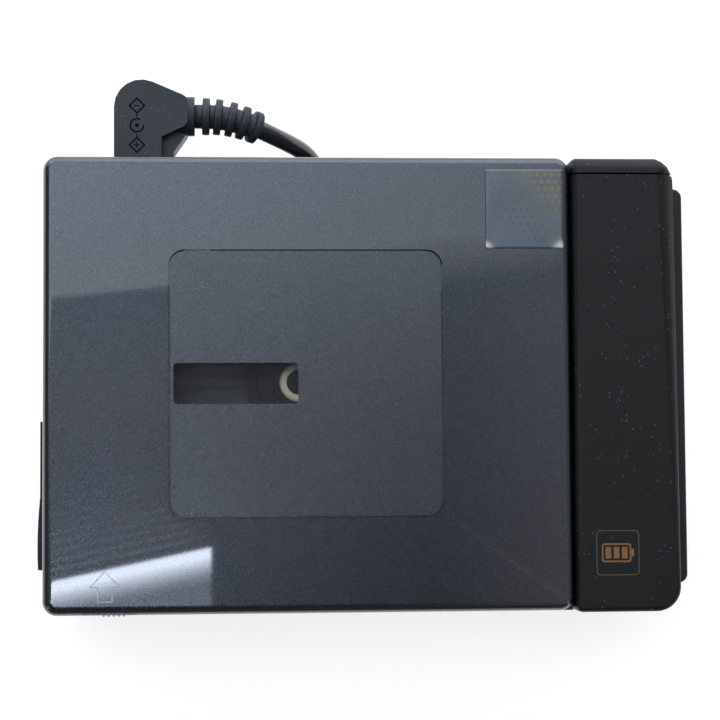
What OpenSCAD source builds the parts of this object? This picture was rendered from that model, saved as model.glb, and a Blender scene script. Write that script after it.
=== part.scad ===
// Portable minidisc player on a clip-on case of dry cells.
// Millimetres. +X is the grip side, +Y the rear with the sockets, +Z up.
// The origin is on the face that the case rests on, under the middle of the player.

/* [Player] */
// Width of the player over lid and grip
player_w = 111; // [108:0.5:118]
// Depth of the player, front to rear
player_d = 79.6; // [79:0.2:86]
// Height of the player
player_h = 26.5; // [26:0.5:30]
// Wall of the moulded shells
wall = 1.5; // [1.3:0.1:1.8]
// Plan radius of the lid's and body's corners
corner_r = 2.5; // [2:0.1:3.2]
// Rounding along the upper edge of the lid
edge_r = 1.7; // [1:0.1:2]
// Rounding along the lower edge of the bottom cover
foot_r = 1; // [0.6:0.1:1.1]
// Thickness of the bottom cover
cover_t = 1.2; // [1:0.1:1.5]

/* [Lid] */
// Height of the lid's side skirts, plate included
lid_h = 8.2; // [8:0.1:9]
// Thickness of the lid's plate
lid_t = 2; // [1.9:0.1:2.4]
// Height of the lid's front lip
lip_h = 2.2; // [2:0.1:2.6]
// Radius of the hinge knuckle along the lid's rear edge
knuckle_r = 1.6; // [1.5:0.1:1.8]
// Radius of the two hinge pins
hinge_pin_r = 0.75; // [0.6:0.05:0.9]
// Length of each hinge ear on the body
ear_l = 5.5; // [5:0.5:8]
// Running gap around moving covers
gap = 0.3; // [0.2:0.05:0.35]

/* [Window] */
// Width of the square panel let into the lid
panel_w = 47.2; // [44:0.2:50]
// Depth of the square panel, front to rear
panel_d = 46.2; // [43:0.2:49]
// Thickness of the square panel
panel_t = 1.2; // [1.1:0.05:1.4]
// Plan radius of the panel's corners
panel_r = 2.8; // [2:0.1:4]
// Groove around the panel
groove = 0.25; // [0.2:0.05:0.4]
// Distance from the lid's middle to the panel's middle
panel_off = -0.5; // [-1:0.1:1]
// Length of the viewing slot
slot_l = 21.6; // [18:0.2:24]
// Height of the viewing slot
slot_w = 7.1; // [6:0.1:8]
// Margin between the panel's left edge and the slot
slot_margin = 0.6; // [0.6:0.1:1]
// Thickness of the clear pane
pane_t = 0.6; // [0.5:0.05:0.7]
// How far the pane reaches past the slot on three sides
pane_lap = 1; // [0.6:0.1:1.2]

/* [Disc bay] */
// Width of the disc cartridge
disc_w = 72; // [71.5:0.1:72]
// Depth of the disc cartridge
disc_d = 68; // [67.5:0.1:68]
// Height of the disc cartridge
disc_h = 5; // [4.8:0.1:5]
// Sheet of the disc holder
sheet = 0.5; // [0.4:0.05:0.6]
// Spindle to the left of the panel's middle
spindle_dx = -0.9; // [-2:0.1:0]
// Spindle to the rear of the panel's middle
spindle_dy = 0.7; // [0:0.1:2]
// Radius of the turntable
table_r = 9.2; // [8.5:0.1:9.6]
// Outer radius of the centring ring
ring_r = 3.5; // [3:0.1:4]
// Inner radius of the centring ring
ring_hole_r = 2.25; // [1.9:0.05:2.5]
// Radius of the spindle shaft
shaft_r = 0.75; // [0.6:0.05:0.9]
// Radius of the spindle motor
motor_r = 9; // [8:0.1:9.4]

/* [Grip and battery] */
// Width of the grip that holds the battery
grip_w = 18.55; // [18:0.05:20]
// How far the grip stands in front of the lid
grip_proud = 0.3; // [0.2:0.1:0.6]
// Plan radius of the grip's outer corners
grip_r = 4.3; // [3.5:0.1:5]
// Plan radius of the grip's corners beside the lid
grip_in_r = 1.2; // [1:0.1:1.5]
// Rounding along the grip's upper and lower edges
grip_edge = 1; // [0.6:0.1:1.1]
// Depth of the battery cap
cap_d = 2.8; // [2.7:0.1:3.4]
// Length of the battery pack
pack_l = 66; // [60:0.5:68]
// Rounding along the cap's upper rear edge
cap_round = 2.4; // [1.6:0.1:2.6]

/* [Controls] */
// Length of a push button
button_l = 6.2; // [5.4:0.1:6.6]
// Height of a push button
button_h = 3.2; // [2.6:0.1:3.6]
// Pitch of the push buttons
button_pitch = 8; // [7.8:0.1:8.2]
// How far a control stands out of its wall
proud = 0.7; // [0.65:0.05:0.8]
// Travel of a push button
button_travel = 0.6; // [0.4:0.05:0.6]
// Travel of the lid release
open_travel = 3; // [2:0.25:3]
// Travel of the hold and tone switches
switch_travel = 2; // [1.5:0.25:2]
// Radius of the headphone and line socket bores
socket_r = 1.8; // [1.75:0.05:1.9]

/* [Dry cell case] */
// Height of the case under the player
case_h = 18; // [17.6:0.2:20]
// Depth of the case, front to rear
case_d = 71.4; // [68:0.2:76]
// Radius of one dry cell
cell_r = 7.2; // [7:0.05:7.2]
// Length of one dry cell with its cap
cell_l = 50.2; // [49:0.1:50.5]
// Pitch of the dry cells
cell_pitch = 15; // [14.8:0.05:15.2]
// Number of dry cells
cell_n = 6; // [4:1:6]
// Walls and roof of the case
case_wall = 1.3; // [1.2:0.05:1.4]
// Plan radius of the case's corners
case_r = 2; // [1.5:0.1:3]
// Thickness of the case's right cheek
cheek_t = 3.4; // [3:0.1:4]
// Height of the right cheek's top above the resting face
cheek_h = 34; // [30:0.5:36]
// Thickness of the case's left fence
fence_t = 0.8; // [0.7:0.05:0.9]
// Height of the left fence's top above the resting face
fence_h = 24; // [22:0.5:28]
// Thickness of the case's sliding door
door_t = 1.2; // [1:0.1:1.3]

/* [Lead and plug] */
// Diameter of the lead
lead_d = 3.4; // [3:0.1:3.6]
// Width of the angled plug, and its height
plug_w = 8.6; // [8:0.1:9]
// Distance of the plug's far end behind the player
plug_l = 16.2; // [15:0.1:17]
// Plan radius of the plug's outer corner
plug_r = 5; // [3:0.1:5.4]
// Radius of the ribs on the plug's boot
rib_r = 3.4; // [3:0.1:3.6]
// Radius of the plug's barrel
barrel_r = 2; // [1.9:0.05:2.2]

/* [Hidden] */
$fn = 48;
eps = 0.01;
fit = 0.05;
over = 1;
arc_steps = 6;

// Outer faces of the player
x0 = -player_w / 2;
x1 = player_w / 2;
y0 = -player_d / 2;
y1 = player_d / 2;
pz = case_h;
top = pz + player_h;

// Lid, hinge and grip planes
grip_x = x1 - grip_w;
lid_x1 = grip_x - gap;
lid_cx = (x0 + lid_x1) / 2;
lid_z = top - lid_h;
rim_z = lid_z - gap;
lip_z = top - lip_h;
plate_z = top - lid_t;
hinge_y = y1 - knuckle_r;
hinge_z = lid_z;
pin_hole_r = hinge_pin_r + fit;
pin_reach = 4;
ear_x0 = x0 + ear_l;
ear_x1 = lid_x1 - ear_l;
ear_foot = 3;
notch_l = 9.5;
notch_in = 6.8;
notch_x = x0 + notch_in;
notch_deep = 0.45;
notch_drop = 1.1;

// Panel and viewing slot
panel_cx = lid_cx + panel_off;
panel_x0 = panel_cx - panel_w / 2;
panel_z = top - panel_t;
slot_x0 = panel_x0 + slot_margin;
slot_x1 = slot_x0 + slot_l;
slot_r = 0.6;
view_over = 1.65;
view_w = slot_w + 2 * view_over;
view_x0 = slot_x0 - pane_lap / 2;
view_x1 = slot_x1 + 2 * pane_lap;

// Levels inside the player, counted from the player's underside
board_up = 3.2;
board_z = pz + board_up;
board_t = 1;
board_top = board_z + board_t;
deck_up = 11;
deck_z = pz + deck_up;
deck_t = 0.8;
deck_top = deck_z + deck_t;
disc_play = 0.3;
cart_up = 3.5;
cart_z = deck_top + cart_up;
cart_play = 0.8;
holder_z = cart_z - sheet;
holder_top = cart_z + disc_h + cart_play + sheet;
holder_x0 = lid_cx - disc_w / 2 - disc_play - sheet;
holder_x1 = lid_cx + disc_w / 2 + disc_play + sheet;
holder_y0 = y0 + wall + 2 * gap;
holder_y1 = holder_y0 + disc_d + disc_play + sheet;
flange = 8;
tab = 5;
tab_in = 4;
spring_w = 6;
spring_half = 15;
spring_bow = 5;
spring_top = 2;
spring_leaf = 0.25;
spring_wide = 0.2;

// Spindle, pickup and its drive
spindle_x = panel_cx + spindle_dx;
spindle_y = spindle_dy;
table_t = 1.5;
table_drop = 0.6;
table_z = cart_z - table_drop - table_t;
table_rim = 1.6;
table_groove = 0.4;
ring_up = 0.9;
ring_top = cart_z + ring_up;
ring_bevel = 0.4;
ring_clear = 1.1;
motor_h = 4.4;
motor_step = 0.6;
motor_rim = 1;
motor_floor = 0.8;
shaft_end = 0.4;
hub_r = 4;
hub_hole_r = 5;
sled_travel = 13;
sled_gap = 0.8;
sled_l = 15;
sled_w = 20;
sled_h = 5.4;
sled_drop = 5.2;
sled_z = deck_z - sled_drop;
sled_x = spindle_x + motor_r + sled_gap;
sled_notch = 1.5;
sled_notch_w = 8;
lens_r = 2;
lens_h = 1.2;
lens_frame = 1.4;
lens_step = 0.4;
rod_r = 1;
rod_space = 7.5;
rod_drop = 3;
rod_y = spindle_y + rod_space;
screw_y = spindle_y - rod_space;
rod_z = deck_z - rod_drop;
rod_lap = 1.4;
rod_x0 = spindle_x + motor_r - rod_lap;
drive_r = 3;
drive_l = 3.6;
tab_t = 0.8;
tab_half = 2;
tab_low = 1.8;
bay_end = 1.1;
rod_x1 = sled_x + sled_l + sled_travel + gap + bay_end + tab_t;
thread_pitch = 1.5;
thread_deep = 0.15;
thread_w = 0.6;
screw_end = 0.5;

// Corner columns that carry the deck and take the cover's screws
column_w = 5;
column_l = 7;
column_drop = 3;
column_top = deck_z - column_drop;
column_x = [x0 + wall + column_w / 2, grip_x - wall - column_w / 2];
column_y = y1 - wall - column_l / 2;
damper_in = 1.2;
damper_y = column_y - damper_in;
damper_r = 2.2;
damper_neck_r = 1.5;
damper_head = 0.8;
damper_head_r = 2;
deck_margin = 0.5;
deck_x0 = column_x[0] - damper_neck_r - deck_margin;
deck_x1 = column_x[1] + damper_neck_r + deck_margin;
deck_y = damper_y + damper_neck_r + deck_margin;
board_x0 = column_x[0] + column_w / 2 + deck_margin;
board_gap = 0.6;
board_x1 = grip_x - wall - board_gap;
board_y = column_y - column_l / 2 - deck_margin;
board_hole_in = 3;
board_hole_r = 1.1;
standoff_r = 2;
// Each chip: left end from the board's left edge, front side from the middle, length, width, height
chips = [[8, -20, 14, 14, 1.4], [28, -24, 10, 10, 1.2], [48, -26, 14, 10, 1], [6, 4, 7, 8, 1.6]];
can_in = 24;
can_y = 21;
can_pitch = 6;
can_r = 2;
can_h = 4;
can_n = 5;
screw_r = 1;
screw_l = 6;
head_r = 1.7;
head_t = 0.6;
cross_l = 1;
cross_w = 0.2;
cross_deep = 0.35;

// Controls on the front and rear walls
button_n = 6;
control_up = 9.4;
control_z = pz + control_up;
button_in = 21.5;
button_x0 = x0 + button_in;
lip_t = 0.8;
lip_over = 0.5;
lip_gap = 0.1;
bar_in = 1.2;
bar_t = 0.2;
bar_half = 0.35;
key_switch_w = 4;
key_switch_h = 3;
key_switch_t = 0.8;
key_board_t = 0.8;
key_y = y0 + wall + lip_gap + lip_t + button_travel + gap + key_switch_t;
open_in = 11.6;
open_x = x0 + open_in;
open_l = 7.6;
open_h = 2.6;
open_stem = 4;
open_up = 13;
open_z = pz + open_up;
catch_l = 3.4;
catch_t = 1.6;
hook_in = 2.4;
hook_x = x0 + wall + hook_in;
hook_w = 2.6;
hook_t = 1.2;
hook_rim = 0.6;
hook_low = 1.6;
hook_y = y0 + wall + lip_t;
switch_l = 5;
switch_h = 2.4;
switch_stem = 2;
keeper_l = 4.8;
keeper_h = 2.4;
keeper_t = 0.6;
stem_h = 1.4;
knurl_n = 5;
knurl_pitch = 0.9;
knurl_w = 0.4;
knurl_t = 0.2;
hold_in = 17.2;
hold_x = grip_x - hold_in;
tone_in = 10.5;
tone_x = grip_x - tone_in;
jack_w = 6.5;
dc_jack_w = 9;
jack_l = 11;
nose_r = 2.9;
line_in = 19.5;
socket_pitch = 9.5;
line_x = grip_x - line_in;
phones_x = line_x - socket_pitch;
dc_in = 15.8;
dc_x = x0 + dc_in;
dc_up = 8;
dc_z = pz + dc_up;
dc_nose_r = 3.4;
dc_pin_r = 0.5;
dc_pin_l = 8;

// Battery bay in the grip
grip_y0 = y0 - grip_proud;
cap_y = y1 - cap_d;
bay_x0 = grip_x + wall;
bay_x1 = x1 - wall;
bay_y0 = grip_y0 + wall;
bay_z0 = pz + wall;
bay_z1 = top - wall;
pack_play = 0.25;
pack_y1 = cap_y - gap - pack_play;
pack_y0 = pack_y1 - pack_l;
carrier_l = 3;
carrier_y1 = bay_y0 + carrier_l;
finger_in = 5;
terminal_in = 7;
terminal_h = 2;
terminal_t = 0.3;
terminal_side = 4;
// Heights of the battery's two terminals
terminals = [bay_z0 + terminal_in, bay_z1 - terminal_in - terminal_h];
finger_trim = 0.3;
cap_knuckle_r = 1.2;
cap_axis_y = y1 - cap_d / 2;
cap_axis_z = pz + cap_knuckle_r + gap;
cap_pin_r = 0.5;
cap_ear_in = 1.4;
cap_ear_t = 1.6;
cap_ears = [grip_x + cap_ear_in, x1 - grip_r - cap_ear_in];
cap_x0 = cap_ears[0] + cap_ear_t + gap;
cap_x1 = cap_ears[1] - gap;
catch_in = 5;
catch_drop = 3;
catch_h = 1.4;
catch_deep = 0.4;

// Case planes
case_play = 0.1;
fence_play = 0.2;
case_x0 = x0 - fence_play - fence_t;
case_x1 = x1 + case_play + cheek_t;
case_y0 = -case_d / 2;
case_y1 = case_d / 2;
case_edge = 0.8;
cheek_edge = 0.6;
cell_floor = 0.8;
cell_z = door_t + cell_floor + cell_r;
cells_w = (cell_n - 1) * cell_pitch + 2 * cell_r;
bay_margin = 0.6;
cells_half = cells_w / 2 + bay_margin;
contact_l = 5;
cells_y = cell_l / 2 + contact_l;
cell_cap_l = 1;
cell_cap_r = 2.7;
contact_half = 5;
contact_t = 0.5;
contact_r = 3;
tongue_z = 0.6;
tongue_w = 2;
rail = 1;
door_y1 = cells_y + tongue_w;
door_half = cells_half + tongue_w;
door_back = 0.4;
thumb_w = 16;
thumb_in = 6;
thumb_pitch = 1.6;
thumb_n = 6;
thumb_deep = 0.35;
latch_in = 3.2;
latch_y0 = case_y0 + latch_in;
latch_l = 26.5;
latch_y1 = latch_y0 + latch_l;
latch_t = 1.3;
latch_low = 3;
latch_rise = 12;
latch_h = case_h + latch_rise;
latch_play = 0.3;
latch_x = x0 - latch_play;
latch_axis_x = latch_x - latch_t / 2;
latch_axis_z = 5;
latch_pin_r = 0.35;
latch_ear_r = 1;
latch_ear_t = 1.6;
bow_r = 90;
bow_out = 0.55;
bow_in = 4;
bow_h = 11;

// Steps that round the ends of the cap's bar: set in at the left and at the right, and
// the share of the full rounding
cap_steps = [[grip_edge, grip_r - grip_edge, 1], [grip_edge / 3, grip_r / 2, 0.8], [0, grip_r / 4, 0.45]];

// Plug, boot and lead
arm_back = 10.2;
arm_y = y1 + arm_back;
arm_l = 9;
arm_x1 = dc_x + arm_l;
plug_half = plug_w / 2;
plug_x0 = dc_x - plug_half;
plug_x1 = dc_x + plug_half;
plug_y0 = y1 + 0.6;
plug_y1 = y1 + plug_l;
plug_z0 = dc_z - plug_half;
plug_z1 = dc_z + plug_half;
plug_corner_r = 1.5;
plug_small_r = 1.2;
arm_slope = 0.5;
arm_half = 3.9;
arm_low = 2.6;
shoulder_x = 2.1;
shoulder_y = 3.4;
shoulder_z = dc_z + 1.2;
collar_t = 1.2;
collar_x1 = arm_x1 + collar_t;
collar_r = 3.6;
plug_seat = 1.5;
gland_r = 2.9;
gland_neck_r = 2.25;
gland_l = 3.4;
rib_n = 5;
rib_t = 1.35;
rib_taper = 0.1;
core_r = 2.2;
tip_in = 4.5;
tip_back = 1.5;
tip_bore_r = 0.6;
tip_bore_l = 10;
// The lead's middle line, from the gland to the plug's collar
lead_route = [
    [-5.6, 37.2, 11.6], [-5.7, 38.7, 11.8], [-6.0, 40.2, 12.3], [-6.5, 41.7, 13.2],
    [-7.3, 43.2, 14.5], [-8.5, 44.4, 16.0], [-10.0, 45.3, 17.8], [-11.6, 45.9, 19.6],
    [-13.2, 46.4, 21.3], [-14.8, 46.9, 22.8], [-16.6, 47.5, 24.2], [-18.5, 48.2, 25.2],
    [-20.6, 48.9, 25.7], [-22.8, 49.5, 25.9], [-25.2, 49.9, 26.0], [-27.4, 50.0, 26.0],
    [-29.5, 50.0, 26.0]
];
lead_sides = 8;
gland_at = lead_route[0];

lid_blue = [0.27, 0.3, 0.34];
panel_blue = [0.25, 0.27, 0.31];
black = [0.1, 0.11, 0.12];
plug_grey = [0.22, 0.25, 0.28];
steel = [0.7, 0.71, 0.73];
board_green = [0.1, 0.32, 0.2];
ring_white = [0.8, 0.78, 0.72];
clear_grey = [0.6, 0.65, 0.7, 0.35];
sled_grey = [0.3, 0.3, 0.32];
lens_blue = [0.5, 0.6, 0.8];
pack_blue = [0.2, 0.2, 0.24];
cell_gold = [0.75, 0.6, 0.3];

// A box between two corners
module block(a, b) {
    translate(a)
        cube(b - a);
}

// A cylinder from a point along one of the axes "x", "y" or "z"
module rod(at, r, l, along) {
    turn = along == "x" ? [0, 90, 0] : along == "y" ? [-90, 0, 0] : [0, 0, 0];
    translate(at)
        rotate(turn)
            cylinder(r = r, h = l);
}

// A quarter arc of radius r about a point of the plane, between two angles
function arc(c, r, from, to) =
    [for (i = [0:arc_steps]) let (a = from + (to - from) * i / arc_steps) c + r * [cos(a), sin(a)]];

// A round post whose lower and upper rims are rounded
module post(r, h, low, high) {
    foot = low > 0 ? arc([r - low, low], low, -90, 0) : [[r, 0]];
    head = high > 0 ? arc([r - high, h - high], high, 0, 90) : [[r, h]];
    rotate_extrude()
        polygon(concat([[0, 0]], foot, head, [[0, h]]));
}

// A slab between two corners, with its own plan radius at the left and at the right
module slab(a, b, r_left, r_right, low, high) {
    h = b[2] - a[2];
    hull() {
        for (y = [a[1] + r_left, b[1] - r_left])
            translate([a[0] + r_left, y, a[2]])
                post(r_left, h, low, high);
        for (y = [a[1] + r_right, b[1] - r_right])
            translate([b[0] - r_right, y, a[2]])
                post(r_right, h, low, high);
    }
}

// A plate with four round corners, true arcs
module round_plate(a, b, r) {
    block([a[0] + r, a[1], a[2]], [b[0] - r, b[1], b[2]]);
    block([a[0], a[1] + r, a[2]], [b[0], b[1] - r, b[2]]);
    for (x = [a[0] + r, b[0] - r], y = [a[1] + r, b[1] - r])
        rod([x, y, a[2]], r, b[2] - a[2], "z");
}

// An outline in the YZ plane, extruded along X
module along_x(x, l) {
    translate([x, 0, 0])
        rotate([90, 0, 90])
            linear_extrude(l)
                children();
}

// Plan of the body: round at the left, square where it meets the grip
module body_plan() {
    translate([x0 + corner_r, y0])
        square([grip_x - x0 - corner_r, player_d]);
    translate([x0, y0 + corner_r])
        square([2 * corner_r, player_d - 2 * corner_r]);
    for (y = [y0 + corner_r, y1 - corner_r])
        translate([x0 + corner_r, y])
            circle(corner_r);
}

module lid_shell() {
    color(lid_blue)
        difference() {
            union() {
                difference() {
                    slab([x0, y0, lid_z], [lid_x1, y1, top], corner_r, corner_r, 0, edge_r);
                    // Hollow under the plate
                    block([x0 + wall, y0 + wall, lid_z - over], [lid_x1 - wall, y1 - wall, plate_z]);
                    // The front is open under its lip, for the disc
                    block([x0 - over, y0 - over, lid_z - over], [lid_x1 + over, y0 + wall + gap, lip_z]);
                }
                rod([ear_x0 + gap, hinge_y, hinge_z], knuckle_r, ear_x1 - ear_x0 - 2 * gap, "x");
            }
            // Recess for the square panel, and the view through the plate
            round_plate([panel_x0 - groove, -panel_d / 2 - groove, panel_z],
                [panel_x0 + panel_w + groove, panel_d / 2 + groove, top + over], panel_r);
            block([view_x0, -view_w / 2, plate_z - over], [view_x1, view_w / 2, top]);
            // Room for the body's two ears, and the bores for the hinge pins
            rod([x0 - over, hinge_y, hinge_z], knuckle_r + gap, ear_l + over + gap, "x");
            rod([ear_x1 - gap, hinge_y, hinge_z], knuckle_r + gap, ear_l + over + gap, "x");
            rod([ear_x0, hinge_y, hinge_z], pin_hole_r, pin_reach + over, "x");
            rod([ear_x1 - pin_reach - over, hinge_y, hinge_z], pin_hole_r, pin_reach + over, "x");
            // Thumb notch above the release
            block([notch_x, y0 - over, top - notch_drop], [notch_x + notch_l, y0 + notch_deep, top + over]);
        }
}

module window_panel() {
    color(panel_blue)
        difference() {
            round_plate([panel_x0, -panel_d / 2, panel_z], [panel_x0 + panel_w, panel_d / 2, top], panel_r);
            round_plate([slot_x0, -slot_w / 2, panel_z - over], [slot_x1, slot_w / 2, top + over], slot_r);
            block([view_x0, -slot_w / 2 - pane_lap, panel_z - over],
                [slot_x1 + pane_lap, slot_w / 2 + pane_lap, panel_z + pane_t]);
        }
}

module window_pane() {
    color(clear_grey)
        block([view_x0, -slot_w / 2 - pane_lap, panel_z],
            [slot_x1 + pane_lap, slot_w / 2 + pane_lap, panel_z + pane_t]);
}

module disc_holder() {
    color(steel) {
        difference() {
            block([holder_x0, holder_y0, holder_z], [holder_x1, holder_y1, holder_top]);
            // The space that the cartridge slides into
            block([holder_x0 + sheet, holder_y0 - over, cart_z],
                [holder_x1 - sheet, holder_y1 - sheet, holder_top - sheet]);
            // The floor is only two side flanges
            block([holder_x0 + flange, holder_y0 - over, holder_z - over],
                [holder_x1 - flange, holder_y1 - sheet, cart_z + over]);
            // Look-through under the viewing slot
            block([view_x0 - pane_lap / 2, -view_w / 2, cart_z + over],
                [view_x1 + 2 * pane_lap, view_w / 2, top]);
        }
        // Four tabs that rivet the holder to the lid
        for (x = [holder_x0, holder_x1 - tab], y = [holder_y0 + tab_in, holder_y1 - tab - tab_in])
            block([x, y, holder_top - eps], [x + tab, y + tab, plate_z]);
    }
}

// Two leaf springs between the holder and the lid, bowed down at the middle
module holder_springs() {
    t = spring_leaf;
    foot = spring_half - spring_bow;
    outer = [[-spring_half, plate_z], [-foot, plate_z], [-spring_top, holder_top + t],
        [spring_top, holder_top + t], [foot, plate_z], [spring_half, plate_z]];
    foot_in = foot + spring_wide;
    top_in = spring_top + spring_wide;
    inner = [[spring_half, plate_z - t], [foot_in, plate_z - t], [top_in, holder_top],
        [-top_in, holder_top], [-foot_in, plate_z - t], [-spring_half, plate_z - t]];
    color(steel)
        for (x = [holder_x0 + spring_w, holder_x1 - 2 * spring_w])
            along_x(x, spring_w)
                polygon(concat(outer, inner));
}

module lid_hook() {
    color(steel)
        difference() {
            block([hook_x, hook_y, open_z - hook_low], [hook_x + hook_w, hook_y + hook_t, plate_z]);
            // Window that the release's catch engages
            block([hook_x + hook_rim, hook_y - over, open_z - hook_low / 2],
                [hook_x + hook_w - hook_rim, hook_y + hook_t + over, open_z + hook_low / 2]);
        }
}

// Where the buttons stand, from the left
function button_at(i) = [button_x0 + i * button_pitch, y0, control_z];

// A slot for a slider's stem, through the front or the rear wall
module stem_slot(at, stem, travel) {
    block([at[0] - stem / 2 - fit, at[1] - wall - over, at[2] - stem_h / 2 - fit],
        [at[0] + stem / 2 + travel + fit, at[1] + wall + over, at[2] + stem_h / 2 + fit]);
}

// Left, rear and right walls of the body, with the hinge ears and the corner columns
module main_case() {
    color(lid_blue)
        difference() {
            union() {
                translate([0, 0, pz + cover_t])
                    linear_extrude(rim_z - pz - cover_t)
                        difference() {
                            body_plan();
                            translate([x0 + wall, y0 - over])
                                square([grip_x - x0 - 2 * wall, player_d - wall + over]);
                        }
                // Ears of the lid's hinge
                intersection() {
                    for (x = [x0, ear_x1]) {
                        rod([x, hinge_y, hinge_z], knuckle_r, ear_l, "x");
                        block([x, hinge_y - knuckle_r, rim_z - ear_foot], [x + ear_l, y1, hinge_z]);
                    }
                    linear_extrude(top)
                        body_plan();
                }
                for (x = column_x, s = [-1, 1])
                    block([x - column_w / 2 - eps, s * column_y - column_l / 2, pz + cover_t],
                        [x + column_w / 2 + eps, s * column_y + column_l / 2, column_top]);
            }
            // The rear wall is lower along the knuckle
            block([ear_x0, hinge_y - knuckle_r - gap, hinge_z - knuckle_r - gap], [ear_x1, y1 + over, top]);
            for (x = [ear_x0 - pin_reach, ear_x1 - over])
                rod([x, hinge_y, hinge_z], pin_hole_r, pin_reach + over, "x");
            stem_slot([tone_x, y1, control_z], switch_stem, switch_travel);
            for (x = [phones_x, line_x])
                rod([x, y1 - wall - over, dc_z], nose_r + fit, wall + 2 * over, "y");
            rod([dc_x, y1 - wall - over, dc_z], dc_nose_r + fit, wall + 2 * over, "y");
            for (x = column_x, s = [-1, 1])
                rod([x, s * column_y, pz], screw_r + fit, screw_l + fit, "z");
        }
}

// The front wall, which goes on up to the lid's lip and carries the controls
module front_panel() {
    color(lid_blue)
        difference() {
            union() {
                block([x0 + wall, y0, pz + cover_t], [grip_x - wall, y0 + wall, rim_z + eps]);
                block([x0, y0, rim_z], [lid_x1, y0 + wall, lip_z - gap]);
            }
            // The left end follows the round corner
            difference() {
                block([x0 - over, y0 - over, pz], [x0 + corner_r, y0 + wall, top]);
                rod([x0 + corner_r, y0 + corner_r, pz - over], corner_r, player_h, "z");
            }
            for (i = [0:button_n - 1])
                translate(button_at(i))
                    block([-button_l / 2 - fit, -over, -button_h / 2 - fit],
                        [button_l / 2 + fit, wall + over, button_h / 2 + fit]);
            stem_slot([open_x, y0, open_z], open_stem, open_travel);
            stem_slot([hold_x, y0, control_z], switch_stem, switch_travel);
        }
}

module bottom_cover() {
    color(black)
        difference() {
            slab([x0, y0, pz], [grip_x, y1, pz + cover_t], corner_r, corner_r, foot_r, 0);
            for (x = column_x, s = [-1, 1]) {
                rod([x, s * column_y, pz - over], screw_r + fit, cover_t + 2 * over, "z");
                rod([x, s * column_y, pz - over], head_r + fit, head_t + over, "z");
            }
        }
}

module cover_screws() {
    color(steel)
        for (x = column_x, s = [-1, 1])
            translate([x, s * column_y, pz])
                difference() {
                    union() {
                        rod([0, 0, 0], head_r, head_t, "z");
                        rod([0, 0, 0], screw_r, screw_l, "z");
                    }
                    // Cross recess
                    block([-cross_l, -cross_w, -over], [cross_l, cross_w, cross_deep]);
                    block([-cross_w, -cross_l, -over], [cross_w, cross_l, cross_deep]);
                }
}

module hinge_pins() {
    color(steel)
        for (x = [ear_x0 - pin_reach, ear_x1 - pin_reach])
            rod([x + fit, hinge_y, hinge_z], hinge_pin_r, 2 * pin_reach - 2 * fit, "x");
}

// Leaf that lifts the lid when the catch lets go: foot on the rear wall, free end under the lid
module lid_spring() {
    t = 0.4;
    w = 2.8;
    y = y1 - wall;
    z = hinge_z - knuckle_r - ear_foot;
    outer = [[y, deck_z], [y, z], [y - 6.5 * t, hinge_z + 1.5 * t], [y - 11 * t, plate_z - gap]];
    inner = [[y - 12 * t, plate_z - gap], [y - 7.5 * t, hinge_z + t], [y - t, z - t / 2], [y - t, deck_z]];
    color(steel)
        for (x = [ear_x0 + deck_margin, ear_x1 - deck_margin - w])
            along_x(x, w)
                polygon(concat(outer, inner));
}

module deck_plate() {
    color(steel)
        difference() {
            union() {
                block([deck_x0, -deck_y, deck_z], [deck_x1, deck_y, deck_top]);
                // Folded tabs that hold the guide rod and the lead screw
                for (y = [rod_y, screw_y], x = [rod_x0, rod_x1 - tab_t])
                    block([x, y - tab_half, rod_z - tab_low], [x + tab_t, y + tab_half, deck_z + eps]);
            }
            rod([spindle_x, spindle_y, deck_z - over], hub_hole_r, deck_t + 2 * over, "z");
            // Opening over the pickup's travel
            block([sled_x - gap, spindle_y - sled_w / 2 - gap, deck_z - over],
                [rod_x1 - tab_t - bay_end, spindle_y + sled_w / 2 + gap, deck_top + over]);
            for (y = [rod_y, screw_y])
                rod([rod_x0 - over, y, rod_z], rod_r + fit, rod_x1 - rod_x0 + 2 * over, "x");
            for (x = column_x, s = [-1, 1])
                rod([x, s * damper_y, deck_z - over], damper_neck_r, deck_t + 2 * over, "z");
        }
}

module deck_dampers() {
    color(black)
        for (x = column_x, s = [-1, 1])
            translate([x, s * damper_y, column_top]) {
                rod([0, 0, 0], damper_r, column_drop, "z");
                rod([0, 0, 0], damper_neck_r - fit, column_drop + deck_t + damper_head / 2, "z");
                rod([0, 0, column_drop + deck_t], damper_head_r, damper_head, "z");
            }
}

module spindle_motor() {
    z = deck_z - motor_h;
    color(steel)
        difference() {
            union() {
                rod([spindle_x, spindle_y, z], motor_r, motor_h - motor_step, "z");
                rod([spindle_x, spindle_y, z], motor_r - motor_rim, motor_h, "z");
            }
            rod([spindle_x, spindle_y, z + motor_floor], shaft_r + fit, motor_h, "z");
        }
}

module turntable() {
    z = deck_z - motor_h + motor_floor + shaft_end;
    color(black) {
        rod([spindle_x, spindle_y, z], shaft_r, table_z - z + eps, "z");
        rod([spindle_x, spindle_y, deck_z + gap], hub_r, table_z - deck_z - gap + eps, "z");
        difference() {
            rod([spindle_x, spindle_y, table_z], table_r, table_t, "z");
            // Ring groove around the hub magnet
            translate([spindle_x, spindle_y, table_z + table_t - table_groove])
                difference() {
                    cylinder(r = table_r - table_rim, h = over);
                    cylinder(r = ring_r + ring_clear, h = over);
                }
        }
    }
}

module centring_ring() {
    z = table_z + table_t;
    color(ring_white)
        translate([spindle_x, spindle_y, 0])
            rotate_extrude()
                polygon([
                    [ring_hole_r, z], [ring_r, z], [ring_r, ring_top - ring_bevel],
                    [ring_r - ring_bevel, ring_top], [ring_hole_r, ring_top]
                ]);
}

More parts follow.
